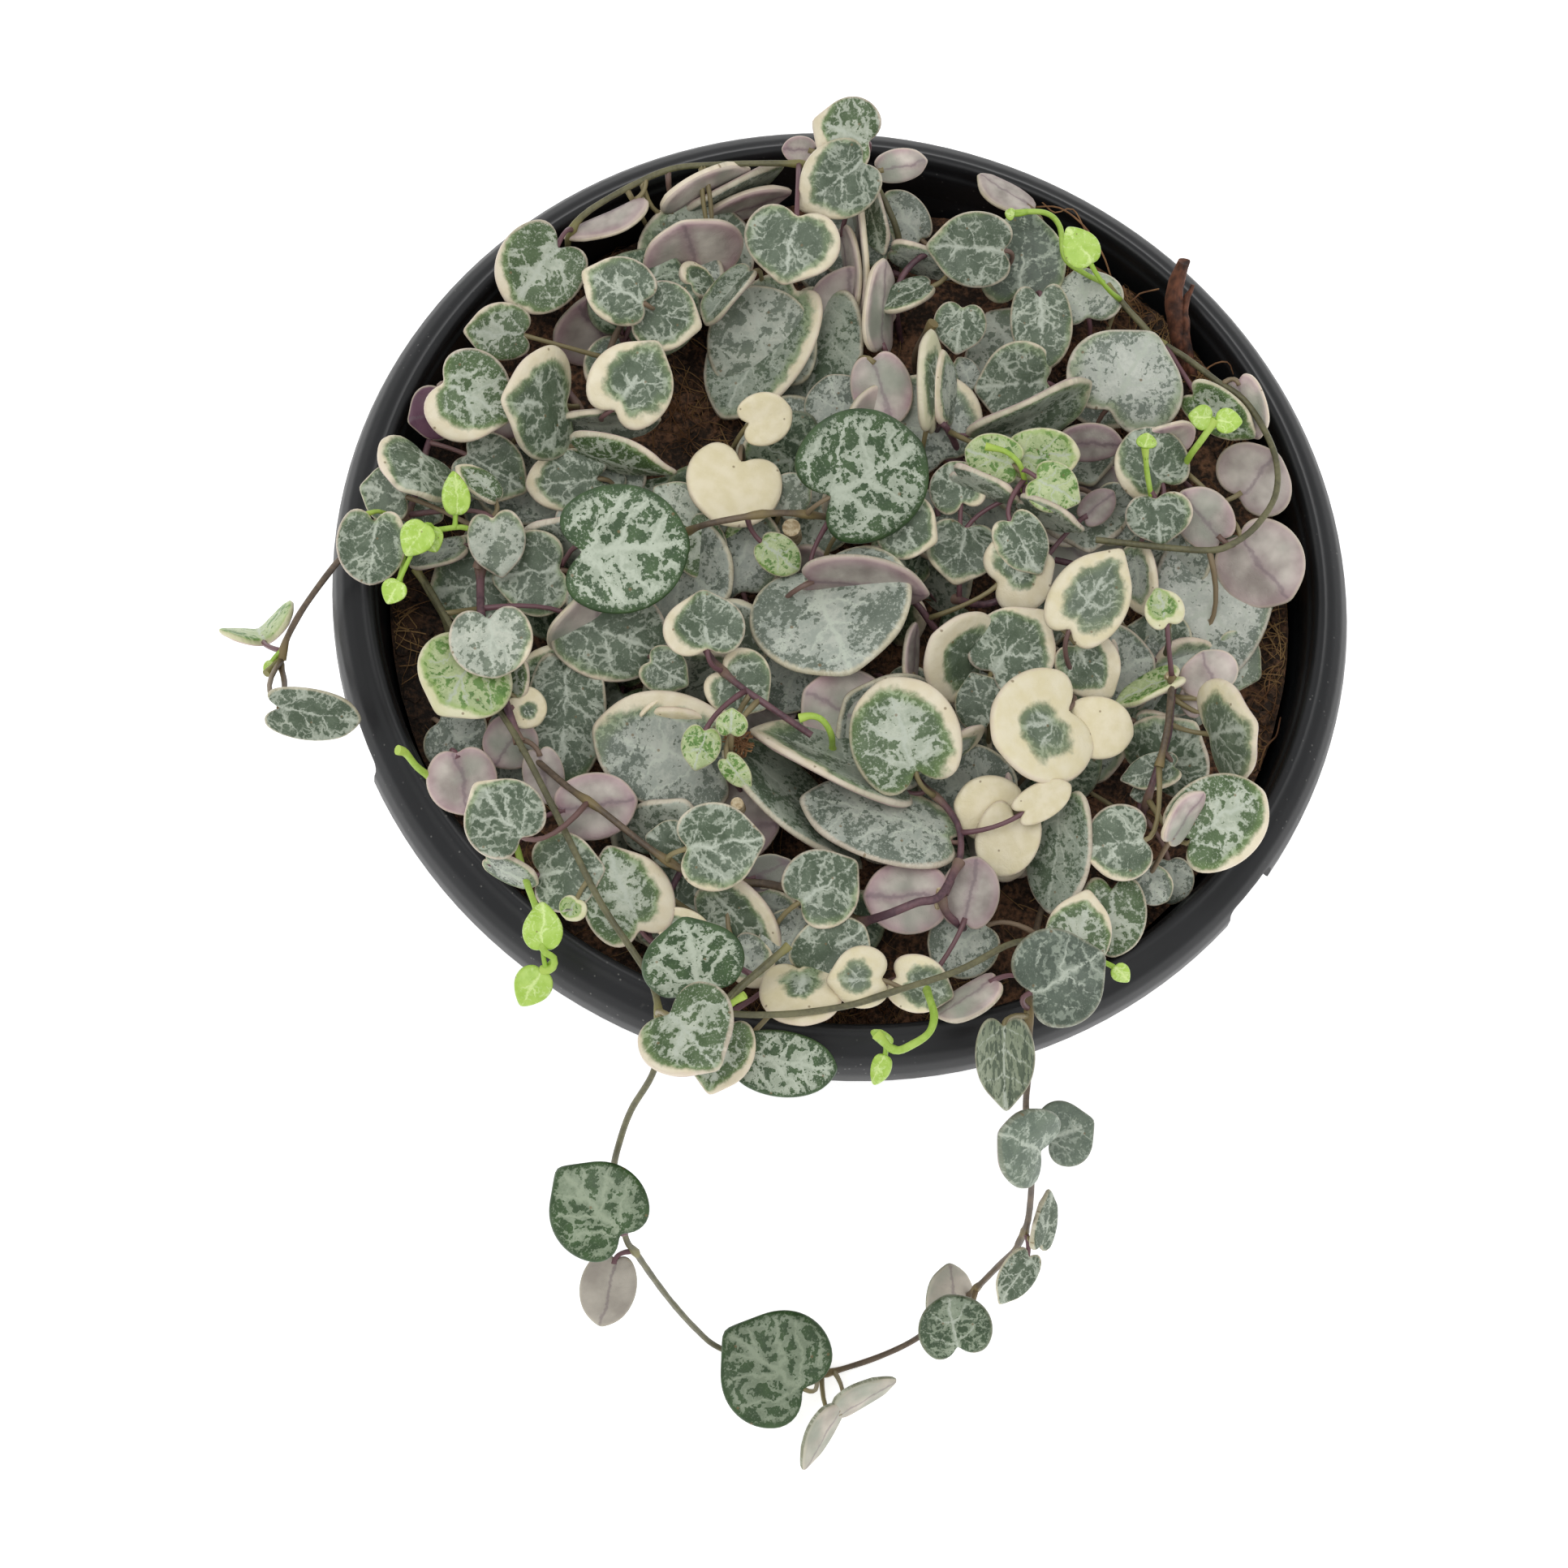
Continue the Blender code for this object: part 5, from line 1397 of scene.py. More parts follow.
class LeafPress:
    """Makes leaves from the moulds, each with its own bend and marks."""

    def __init__(self, sizes, routes):
        self.sizes = sizes
        self.routes = routes
        self.moulds = {}
        for form in BLADE_FORMS:
            mesh, blade_points = blade_mould(form)
            points = read_points(mesh)
            self.moulds[form] = (mesh, points, blade_points, rim_of(points[:blade_points]))
            bpy.data.objects.remove(bpy.data.objects["mould_" + form])
        self.finishes = {look: leaf_finish(look) for look in LOOKS}

    def joint_for(self, notch, leaving, vine):
        """Where a leaf's stalk ends: on its own stem, on the nearest one, or in the soil below."""
        start = notch + leaving * 2 * MM
        if vine:
            joint = nearest_on(self.routes[vine], start)
            inside_pot = math.hypot(notch.x, notch.y) < SOIL_RADIUS and notch.z > POT_HEIGHT
            if inside_pot and (joint - notch).dot(leaving) < -1.5 * MM:
                joint = self.soil_under(notch, leaving, 5)
        else:
            joint = min(
                (nearest_on(route, start) for route in self.routes.values()),
                key=lambda place: (place - start).length - 0.8 * (place - notch).dot(leaving),
            )
            if (joint - start).length > self.sizes.reach:
                joint = self.soil_under(notch, leaving, 3)
                spread = math.hypot(joint.x, joint.y)
                inside = min(1.0, 0.95 * SOIL_RADIUS / max(spread, MM))
                joint = Vector((joint.x * inside, joint.y * inside, SOIL_TOP - 0.5 * MM))
        return joint

    def soil_under(self, notch, leaving, reach):
        """The soil's surface below a leaf's notch, some millimetres behind it."""
        return Vector((notch.x, notch.y, SOIL_TOP)) + Vector((leaving.x, leaving.y, 0)) * reach * MM

    def press(self, name, plan, look, cream, vine=None, fold=None, slack=1.0, form=None):
        """One leaf from its plan, as one piece: the blade's points first, the stalk's after them."""
        rng = random.Random(name)
        notch, along, side, normal, width, length, facing = blade_frame(*plan)
        if look in BACK_LOOKS and plan[-1] != "under":
            side, normal = -side, -normal
        form = form or FORM_OF_LOOK.get(look) or self.form_for(plan[4], rng)
        mould, points, blade_points, rim = self.moulds[form]
        blade, stalk = points[:blade_points], points[blade_points:]
        across, ahead, lift = blade.T

        spread = np.sqrt(4 * across**2 + 0.01) - 0.1
        cup = rng.gauss(-0.03, 0.04) * slack
        crease = fold if fold is not None else rng.gauss(0.05, 0.05) * slack
        droop = rng.uniform(0.0, 0.14) * slack
        twist = rng.gauss(0, 0.05) * slack
        wave = rng.uniform(0.0, 0.028) * slack
        turn = rng.uniform(0, math.tau)
        angle = np.arctan2(across, ahead - BLADE_MIDDLE)
        rise = (
            cup * (2 * across**2 + 2 * (ahead - BLADE_MIDDLE) ** 2)
            + crease * spread
            - droop * np.clip(ahead, 0, 2) ** 2
            + twist * across * (ahead - 0.5) * 2
            + wave * np.sin(3 * angle + turn) * rim**2
        )
        if fold is None:
            rise -= rise[np.argmin(np.abs(across) + np.abs(ahead))]
        body = self.sizes.thickness * rng.uniform(0.85, 1.1) / 2 * min(1.0, 0.55 + width / (22 * MM))
        skew = 1 + rng.gauss(0, 0.03) * np.sign(across)
        flat_x = across * width * skew
        flat_y = ahead * length
        flat_z = rise * width + lift * body

        notch_v, along_v, side_v, normal_v = (np.array(item) for item in (notch, along, side, normal))
        placed = notch_v + np.outer(flat_x, side_v) + np.outer(flat_y, along_v)
        if facing:
            placed = self.tilted(placed, notch, normal, rng)
        placed = placed + np.outer(flat_z, normal_v)
        stalk_points = self.lay_stalk(stalk, notch, along, normal, vine, rng)

        mesh = mould.copy()
        write_points(mesh, np.vstack([placed, stalk_points]))
        direction, pull = self.cream_side(name, side, along, rng)
        around = np.arctan2(flat_x, flat_y - BLADE_MIDDLE * length)
        field = rim + pull * rim * np.cos(around - direction)
        self.mark(mesh, blade_points, flat_x, flat_y, lift, rim, width, cream, look, field, rng)
        item = added(name, mesh)
        mesh.materials.clear()
        mesh.materials.append(self.finishes[look])
        mesh.shade_smooth()
        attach(item, BODY)
        return item

    def form_for(self, width, rng):
        """The form of a blade whose look has none of its own."""
        if width < SMALL_LEAF:
            return rng.choice(("heart", "round", "heart"))
        if width > LARGE_LEAF:
            return rng.choice(("kidney", "kidney", "heart"))
        return rng.choice(("heart", "heart", "kidney"))

    def tilted(self, placed, notch, normal, rng):
        """Turns a blade that faces the eye a little, along the lines of sight, so it looks as wide."""
        tilt = self.sizes.tilt
        lean = Vector((rng.gauss(0, tilt), rng.gauss(0, tilt), rng.gauss(0.5 * tilt, tilt)))
        outward = Vector((notch.x, notch.y, 0)) / SKIRT_RADIUS
        tipped = (normal + lean + outward * 0.5 * tilt).normalized()
        rays = placed - np.array(EYE)
        rays /= np.linalg.norm(rays, axis=1)[:, None]
        plane = np.array(tipped)
        off = (placed - np.array(notch)) @ plane
        return placed - rays * (off / (rays @ plane))[:, None]

    def lay_stalk(self, stalk, notch, along, normal, vine, rng):
        """The stalk's rings, laid from the notch to the stem in one bend."""
        leaving = -along
        joint = self.joint_for(notch, leaving, vine)
        root = notch + along * 0.8 * MM - normal * 0.25 * MM
        gap = joint - root
        bend = root + leaving * min(3.5 * MM, 0.6 * gap.length)
        sag = Vector((rng.gauss(0, 0.1), rng.gauss(0, 0.1), 0)) * gap.length
        bend = bend + sag
        heights = stalk[:, 2]
        radius = self.sizes.stalk
        laid = np.empty_like(stalk)
        first = leaving.cross(normal).normalized()
        for ring in np.unique(np.round(heights, 4)):
            t = float(ring)
            place = (1 - t) ** 2 * root + 2 * t * (1 - t) * bend + t**2 * joint
            heading = ((1 - t) * (bend - root) + t * (joint - bend)).normalized()
            second = heading.cross(first).normalized()
            cross = second.cross(heading).normalized()
            girth = radius * (1.15 - 0.55 * t * (1 - t) * 4 * 0.5)
            chosen = np.abs(heights - ring) < 0.001
            laid[chosen] = (
                np.array(place)
                + np.outer(stalk[chosen, 0] * girth, np.array(cross))
                + np.outer(stalk[chosen, 1] * girth, np.array(second))
            )
        return laid

    def cream_side(self, name, side, along, rng):
        """Where the cream part is widest, as an angle from the tip's direction, and by how much."""
        if name not in CREAM_SIDES:
            return rng.uniform(0, math.tau), CREAM_PULL * rng.uniform(0.1, 0.9)
        right, down = CREAM_SIDES[name]
        way = right * EYE_RIGHT - down * EYE_UP
        return math.atan2(way.dot(side), way.dot(along)), CREAM_PULL * math.hypot(right, down)

    def mark(self, mesh, blade_points, flat_x, flat_y, lift, rim, width, cream, look, field, rng):
        """Writes what the leaf's material reads."""
        count = len(mesh.vertices)
        scale = 1 / math.sqrt(width * PATTERN_WIDTH)
        seed = rng.random()
        if cream < 0.6:
            cream *= CREAM_CUT
        least = np.quantile(field, 1 - cream) if cream < 1 else -1.0
        creamy = np.zeros(count)
        creamy[:blade_points] = (field - least) if cream > 0 else -1.0
        long_x, long_y, rims, unders, stalks = (np.zeros(count) for _ in range(5))
        long_x[:blade_points] = flat_x * scale
        long_y[:blade_points] = flat_y * scale
        rims[:blade_points] = rim
        unders[:blade_points] = lift < -0.3
        stalks[blade_points:] = 1.0
        creamy[blade_points:] = -1.0
        pink = rng.uniform(0.3, 1.0) if cream > 0 or look == "under" else 0.0
        write_vector(mesh, "flat", long_x, long_y, np.full(count, seed))
        write_vector(mesh, "marks", rims, unders, stalks)
        write_vector(mesh, "shade", creamy, np.full(count, rng.uniform(-1, 1)), np.full(count, pink))


def vine_routes():
    """Every long stem's and shoot's route, fine enough for a smooth tube."""
    routes = {
        name: smooth_route([at(*point) for point in plan], ROUTE_STEP)
        for name, (_, plan) in VINES.items()
    }
    for name, (_, _, plan) in SHOOTS.items():
        routes[name] = smooth_route([at(*point) for point in plan], ROUTE_STEP / 2)
    return routes


def knotted(item, knots, reach):
    """Stores how near each point of a stem is to a leaf joint, as the material's knot attribute."""
    points = read_points(item.data)
    near = np.zeros(len(points))
    for knot in knots:
        distance = np.linalg.norm(points - np.array(knot), axis=1)
        near = np.maximum(near, np.exp(-((distance / reach) ** 2)))
    write_vector(item.data, "knot", near, near, near)


def make_stem(name, route, radius, knots, finish, *nodes):
    """One stem: a tube with a slow waver, swollen where leaves join it."""
    rng = random.Random(name)
    start = Vector((rng.uniform(0, 50), rng.uniform(0, 50), rng.uniform(0, 50)))
    radii = []
    for place in route:
        swelling = sum(math.exp(-(((place - knot).length / (1.3 * MM)) ** 2)) for knot in knots)
        radii.append(radius * (1 + 0.5 * min(1.0, swelling) + 0.08 * noise.noise(place * 300 + start)))
    item = tube(name, route, radii, resolution=3)
    knotted(item, knots, 1.8 * MM)
    return settle(item, name, finish, "vine", *nodes)


def swarm(name, mould, placements, finish, slot):
    """One piece of many copies of a small mould, each moved by its own function."""
    points = read_points(mould)
    corners = [tuple(polygon.vertices) for polygon in mould.polygons]
    placed = [place(points) for place in placements]
    count = len(points)
    faces = [
        tuple(index + count * copy for index in face)
        for copy in range(len(placed)) for face in corners
    ]
    mesh = bpy.data.meshes.new(name)
    mesh.from_pydata(np.vstack(placed).tolist(), [], faces)
    item = added(name, mesh)
    return settle(item, name, finish, slot)


class HeartsPotSizes(bpy.types.PropertyGroup):
    colour: bpy.props.FloatVectorProperty(
        name="Colour", description="Colour of the black plastic", subtype="COLOR",
        default=(0.0085, 0.009, 0.010), min=0, max=1,
    )
    dust: bpy.props.FloatProperty(
        name="Dust", description="How much dust and how many scuffs show", subtype="FACTOR",
        default=0.5, min=0, max=1,
    )
    edge: bpy.props.FloatProperty(
        name="Edge", description="Rounding of the moulded edges", unit="LENGTH",
        default=0.45 * MM, precision=5,
    )
    steps: bpy.props.IntProperty(name="Steps", description="Faces around the pot", default=144, min=48)


class HeartsSoilSizes(bpy.types.PropertyGroup):
    dark: bpy.props.FloatVectorProperty(
        name="Dark crumbs", description="Colour of the wet crumbs", subtype="COLOR",
        default=(0.030, 0.018, 0.011), min=0, max=1,
    )
    light: bpy.props.FloatVectorProperty(
        name="Light crumbs", description="Colour of the drier crumbs", subtype="COLOR",
        default=(0.24, 0.120, 0.062), min=0, max=1,
    )
    relief: bpy.props.FloatProperty(
        name="Relief", description="Height of the soil's lumps", unit="LENGTH",
        default=1.6 * MM, precision=5,
    )
    crumbs: bpy.props.IntProperty(
        name="Crumbs", description="Loose crumbs on the soil", default=1100, min=0,
    )
    fibres: bpy.props.IntProperty(name="Fibres", description="Loose coir fibres", default=900, min=0)


class HeartsStemSizes(bpy.types.PropertyGroup):
    radius: bpy.props.FloatProperty(
        name="Radius", description="Radius of a long stem", unit="LENGTH", default=0.48 * MM, precision=5,
    )


class HeartsLeafSizes(bpy.types.PropertyGroup):
    thickness: bpy.props.FloatProperty(
        name="Thickness", description="Thickness of a full-grown blade", unit="LENGTH",
        default=1.25 * MM, precision=5,
    )
    stalk: bpy.props.FloatProperty(
        name="Stalk radius", description="Radius of a leaf's stalk", unit="LENGTH",
        default=0.42 * MM, precision=5,
    )
    reach: bpy.props.FloatProperty(
        name="Stalk reach", description="Farthest stem that a leaf grows from", unit="LENGTH",
        default=13 * MM, precision=5,
    )
    tilt: bpy.props.FloatProperty(
        name="Tilt", description="How unevenly the blades that face the eye lean",
        default=0.13, min=0, max=0.5,
    )
    hidden: bpy.props.IntProperty(
        name="Hidden leaves", description="Old leaves low in the plant", default=110, min=0,
    )


class HeartsStageSizes(bpy.types.PropertyGroup):
    floor: bpy.props.FloatVectorProperty(
        name="Floor", description="Colour of the floor", subtype="COLOR",
        default=(0.93, 0.93, 0.93), min=0, max=1,
    )
    glow: bpy.props.FloatProperty(
        name="Floor glow", description="Light that the floor gives off itself", default=0.6, min=0,
    )
    sky: bpy.props.FloatProperty(
        name="Sky", description="Strength of the light all round", default=0.72, min=0,
    )
    key: bpy.props.FloatProperty(
        name="Key", description="Power of the large light above", unit="POWER", default=2.3, min=0,
    )


class HEARTS_OT_pot(bpy.types.Operator):
    """Spins the moulded pot and cuts its hanger notches and drain holes"""

    bl_idname = "hearts.pot"
    bl_label = "Pot"

    def execute(self, context):
        sizes = context.scene.hearts_pot
        pot = spun("nursery_pot", eased(pot_outline(), sizes.edge), sizes.steps)
        cutters = []
        for angle in NOTCH_ANGLES:
            depth = SKIRT_RADIUS - NOTCH_INNER_RADIUS + CUTTER_OUT
            height = SKIRT_DROP - NOTCH_DEPTH_FROM_RIM + CUTTER_DOWN
            turn = math.radians(angle)
            middle = NOTCH_INNER_RADIUS + depth / 2
            deselect()
            bpy.ops.mesh.primitive_cube_add(
                size=1, rotation=(0, 0, turn), scale=(depth, NOTCH_WIDTH, height),
                location=(
                    middle * math.cos(turn), middle * math.sin(turn),
                    POT_HEIGHT - NOTCH_DEPTH_FROM_RIM - height / 2,
                ),
            )
            cutter = bpy.context.object
            bpy.ops.object.transform_apply(location=True, rotation=True, scale=True)
            modify(cutter, "BEVEL", width=CUTTER_CORNER, segments=4)
            cutters.append(cutter)
        for hole in range(DRAIN_HOLES):
            turn = math.tau * (hole + 0.5) / DRAIN_HOLES
            deselect()
            bpy.ops.mesh.primitive_cylinder_add(
                vertices=DRAIN_SIDES, radius=DRAIN_RADIUS, depth=3 * FLOOR_THICKNESS,
                location=(
                    DRAIN_CIRCLE * math.cos(turn), DRAIN_CIRCLE * math.sin(turn), FLOOR_THICKNESS / 2,
                ),
            )
            cutter = bpy.context.object
            bpy.ops.object.transform_apply(location=True)
            cutters.append(cutter)
        cutter = join(cutters)
        modify(pot, "BOOLEAN", operation="DIFFERENCE", object=cutter)
        bpy.data.objects.remove(cutter)
        settle(pot, "nursery_pot", pot_finish(sizes.colour, sizes.dust), "pot", "pot", smooth_angle=38)
        return {"FINISHED"}


class HEARTS_OT_soil(bpy.types.Operator):
    """Fills the pot with lumpy soil and strews crumbs and coir fibres on it"""

    bl_idname = "hearts.soil"
    bl_label = "Soil"

    def execute(self, context):
        sizes = context.scene.hearts_soil
        rng = random.Random(SOIL_SEED)
        finish = soil_finish(sizes.dark, sizes.light)
        deselect()
        bpy.ops.mesh.primitive_grid_add(x_subdivisions=150, y_subdivisions=150, size=2)
        soil = bpy.context.object
        points = read_points(soil.data)
        u, v = points[:, 0].copy(), points[:, 1].copy()
        points[:, 0] = u * np.sqrt(1 - v * v / 2) * SOIL_RADIUS
        points[:, 1] = v * np.sqrt(1 - u * u / 2) * SOIL_RADIUS
        points[:, 2] = [self.height_at(x, y, sizes.relief) for x, y in points[:, :2]]
        write_points(soil.data, points)
        edit(soil)
        bpy.ops.mesh.region_to_loop()
        bottom = FLOOR_THICKNESS + CLEARANCE
        shrink = (wall_radius(bottom) - WALL_THICKNESS - 2 * CLEARANCE) / SOIL_RADIUS
        bpy.ops.mesh.extrude_region_move(TRANSFORM_OT_translate={"value": (0, 0, bottom - SOIL_TOP)})
        bpy.ops.transform.resize(value=(shrink, shrink, 0), center_override=(0, 0, bottom))
        bpy.ops.mesh.edge_face_add()
        bpy.ops.mesh.select_all(action="SELECT")
        bpy.ops.mesh.normals_make_consistent(inside=False)
        close_edit()
        settle(soil, "potting_soil", finish, "soil", "soil")

        deselect()
        bpy.ops.mesh.primitive_ico_sphere_add(subdivisions=1, radius=1)
        crumb = bpy.context.object
        placements = [self.crumb_place(rng, sizes.relief) for _ in range(sizes.crumbs)]
        swarm("soil_crumbs", crumb.data, placements, finish, "soil")
        bpy.data.objects.remove(crumb)
        deselect()
        bpy.ops.mesh.primitive_cylinder_add(vertices=3, radius=1, depth=1, end_fill_type="NGON")
        strand = bpy.context.object
        edit(strand)
        for cut in FIBRE_CUTS:
            bpy.ops.mesh.select_all(action="SELECT")
            bpy.ops.mesh.bisect(plane_co=(0, 0, cut), plane_no=(0, 0, 1))
        close_edit()
        placements = [self.fibre_place(rng, sizes.relief) for _ in range(sizes.fibres)]
        swarm("coir_fibres", strand.data, placements, fibre_finish("#6a4526", "#b08f60"), "soil")
        bpy.data.objects.remove(strand)
        return {"FINISHED"}

    def height_at(self, x, y, relief):
        """The soil's height: lumps, banks against the wall, and lower at the wall between them."""
        place = Vector((x, y, 0))
        share = math.hypot(x, y) / SOIL_RADIUS
        edge = max(0.0, share - 0.8) * 6 * MM
        turn = math.degrees(math.atan2(y, x))
        outward = max(0.0, share - 0.70) / 0.30
        bank = 0.0
        for middle, span, rise in SOIL_BANKS:
            bank += rise * MM * math.exp(-(((turn - middle) / span) ** 4)) * outward**1.3
        return (
            SOIL_TOP
            + bank
            + relief * 0.6 * noise.noise(place * 60)
            + relief * 0.5 * noise.fractal(place * 260, 0.8, 2.2, 4)
            - edge * 0.6 * (1 - min(1.0, bank / MM))
        )

    def spot(self, rng):
        """A place on the soil, more often near the bare patches and the wall."""
        if rng.random() < 0.6:
            x, y, spread = rng.choice(BARE_PATCHES)
            middle = at(x, y, SOIL_TOP / MM)
            x_off, y_off = rng.gauss(0, spread * MM), rng.gauss(0, spread * MM)
            place = Vector((middle.x + x_off, middle.y + y_off, 0))
        else:
            turn = rng.uniform(0, math.tau)
            reach = SOIL_RADIUS * math.sqrt(rng.uniform(0, 1))
            place = Vector((reach * math.cos(turn), reach * math.sin(turn), 0))
        limit = SOIL_RADIUS - 1.5 * MM
        if place.length > limit:
            place = place.normalized() * limit
        return place

    def crumb_place(self, rng, relief):
        """A function that lays one crumb."""
        place = self.spot(rng)
        size = rng.uniform(0.35, 1.25) * MM
        stretch = np.array([rng.uniform(0.7, 1.5), rng.uniform(0.6, 1.2), rng.uniform(0.4, 0.9)]) * size
        turn = np.array(Matrix.Rotation(rng.uniform(0, math.tau), 3, "Z"))
        rough = np.array([rng.uniform(0.7, 1.25) for _ in range(CRUMB_POINTS)])
        place.z = self.height_at(place.x, place.y, relief) + 0.15 * size
        return lambda points: (points * rough[:, None] * stretch) @ turn.T + np.array(place)

    def fibre_place(self, rng, relief):
        """A function that lays one fibre, bowed and a little raised in its middle."""
        place = self.spot(rng)
        length = rng.uniform(3, 11) * MM
        radius = rng.uniform(0.05, 0.12) * MM
        turn = np.array(Matrix.Rotation(rng.uniform(0, math.tau), 3, "Z"))
        tip = rng.gauss(0, 0.22)
        bow = rng.uniform(-0.35, 0.35) * length
        hump = rng.uniform(0.05, 0.3) * length
        place.z = self.height_at(place.x, place.y, relief) + 0.2 * MM

        def lay(points):
            share = points[:, 2]
            laid = np.stack([
                share * length,
                points[:, 0] * radius + bow * (4 * share**2 - 0.5),
                points[:, 1] * radius + hump * (1 - 4 * share**2) * 0.6 + share * length * tip,
            ], axis=1) @ turn.T + np.array(place)
            spread = np.hypot(laid[:, 0], laid[:, 1])
            laid[:, :2] *= np.minimum(1.0, (SOIL_RADIUS - 0.3 * MM) / spread)[:, None]
            laid[:, 2] = np.maximum(laid[:, 2], SOIL_TOP - 3 * MM)
            return laid

        return lay


class HEARTS_OT_dry_stem(bpy.types.Operator):
    """Makes the split, dried stem stub, the coir plug, the long roots and the cut ends of old stems"""

    bl_idname = "hearts.dry_stem"
    bl_label = "Dry stems"

    def execute(self, context):
        rng = random.Random(DRY_SEED)
        noise.seed_set(DRY_SEED)
        bark = bark_finish()
        parts = []
        for plan, widths in STICK_LIMBS:
            route = smooth_route([at(*point) for point in plan], MM)
            shares = np.linspace(0, 1, len(route))
            radii = np.interp(shares, np.linspace(0, 1, len(widths)), widths) * MM
            parts.append(tube("bark", route, radii, resolution=5))
        stick = join(parts)
        points = read_points(stick.data)
        turned = np.array([noise.noise_vector(Vector((x * 900, y * 900, z * 160))) for x, y, z in points])
        write_points(stick.data, points + turned * 0.32 * MM)
        settle(stick, "dry_stem_stub", bark, "dry_stem", "dried_stick")

        stubs = []
        for x, y, height, radius in CUT_STUBS:
            top = at(x, y, height)
            low = top - Vector((rng.gauss(0, 0.6), rng.gauss(0, 0.6), 5)) * MM
            route = smooth_route([low, (low + top) / 2, top], MM)
            radii = [radius * MM * rng.uniform(0.93, 1.0) for _ in route]
            stubs.append(tube("stub", route, radii, resolution=4))
        settle(join(stubs), "cut_stem_ends", cut_finish(), "vine", smooth_angle=35)

        middle = at(*PLUG_MIDDLE)
        strands = []
        for _ in range(PLUG_STRANDS):
            way = Vector((rng.gauss(0, 1), rng.gauss(0, 1), rng.gauss(0, 0.8))).normalized()
            other = Vector((rng.gauss(0, 1), rng.gauss(0, 1), rng.gauss(0, 0.8))).normalized()
            ends = [middle + way * 2.2 * MM, middle + (way + other) * 0.9 * MM, middle + other * 2.3 * MM]
            route = smooth_route(ends, 0.8 * MM)
            strands.append(tube("strand", route, [STRAND_RADIUS] * len(route), resolution=0))
        for root in LONG_ROOTS:
            route = smooth_route([at(*point) for point in root], MM)
            strands.append(tube("root", route, [rng.uniform(0.09, 0.15) * MM] * len(route), resolution=0))
        settle(join(strands), "coir_plug", fibre_finish("#5a3820", "#a07850"), "soil")
        return {"FINISHED"}


class HEARTS_OT_stems(bpy.types.Operator):
    """Grows the long stems and the young shoots"""

    bl_idname = "hearts.stems"
    bl_label = "Stems"

    def execute(self, context):
        routes = vine_routes()
        radius = context.scene.hearts_stems.radius
        finishes = {name: stem_finish(name) for name in STEM_TONES if name != "petiole"}
        knots = {name: [] for name in routes}
        for vine, *plan in LEAVES.values():
            notch, along, *_ = blade_frame(*plan[:6], plan[8])
            knots[vine].append(nearest_on(routes[vine], notch - along * 2 * MM))
        for name, (tone, _) in VINES.items():
            stem = name.replace("vine_", "stem_", 1)
            make_stem(stem, routes[name], radius, knots[name], finishes[tone], name)
        for name, (tone, thickness, _) in SHOOTS.items():
            ends = [routes[name][0], routes[name][-1]]
            make_stem(name, routes[name], thickness * MM, ends, finishes[tone])
        return {"FINISHED"}


class HEARTS_OT_leaves(bpy.types.Operator):
    """Presses every leaf: those that stand for the model's own, those between them and the hidden ones"""

    bl_idname = "hearts.leaves"
    bl_label = "Leaves"

    def execute(self, context):
        sizes = context.scene.hearts_leaves
        press = LeafPress(sizes, vine_routes())
        for node, (vine, *plan) in LEAVES.items():
            look, cream, lean = plan[6:]
            fold = FOLDS.get(node)
            name = node.replace("leaf_", "heart_", 1)
            if node == FOLDED_LEAF:
                halves = [
                    press.press(name, half, "beige", 0, vine, 0.1, slack=0.5, form="young")
                    for half in FOLDED_HALVES
                ]
                leaf = join(halves)
            else:
                leaf = press.press(name, (*plan[:6], lean), look, cream, vine, fold, slack=0.8)
            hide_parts(node)
        for part, rows in MORE_LEAVES.items():
            for number, (*plan, look, cream, lean) in enumerate(rows, 1):
                press.press(f"heart_{part}_{number:02d}", (*plan, lean), look, cream)
        self.fill(press, sizes.hidden)
        for mesh, *_ in press.moulds.values():
            bpy.data.meshes.remove(mesh)
        return {"FINISHED"}

    def fill(self, press, count):
        """Old leaves low in the plant, away from the bare patches."""
        rng = random.Random(HIDDEN_SEED)
        bare = [
            (at(x, y, SOIL_TOP / MM), spread * HIDDEN_FROM_BARE * MM)
            for x, y, spread in BARE_PATCHES
        ]
        made = 0
        while made < count:
            x, y = rng.uniform(*PLANT_ACROSS), rng.uniform(*PLANT_DOWN)
            height = rng.uniform(*HIDDEN_HEIGHTS)
            place = at(x, y, height)
            near_wall = math.hypot(place.x, place.y) > SOIL_RADIUS - HIDDEN_FROM_WALL
            on_bare = any(
                (Vector((place.x, place.y, spot.z)) - spot).length < reach for spot, reach in bare
            )
            if near_wall or on_bare:
                continue
            turn = rng.uniform(0, math.tau)
            width = rng.uniform(*HIDDEN_WIDTHS)
            length = width * rng.uniform(0.45, 0.9)
            tip_x, tip_y = x + length * math.cos(turn), y + length * math.sin(turn)
            if math.hypot(*at(tip_x, tip_y, height).xy) > SOIL_RADIUS - 3 * MM:
                continue
            made += 1
            look = rng.choice(HIDDEN_LOOKS)
            plan = (x, y, tip_x, tip_y, width, height, rng.choice(("up", "down")))
            press.press(f"heart_hidden_{made:02d}", plan, look, rng.choice((0, 0.1, 0.25)))


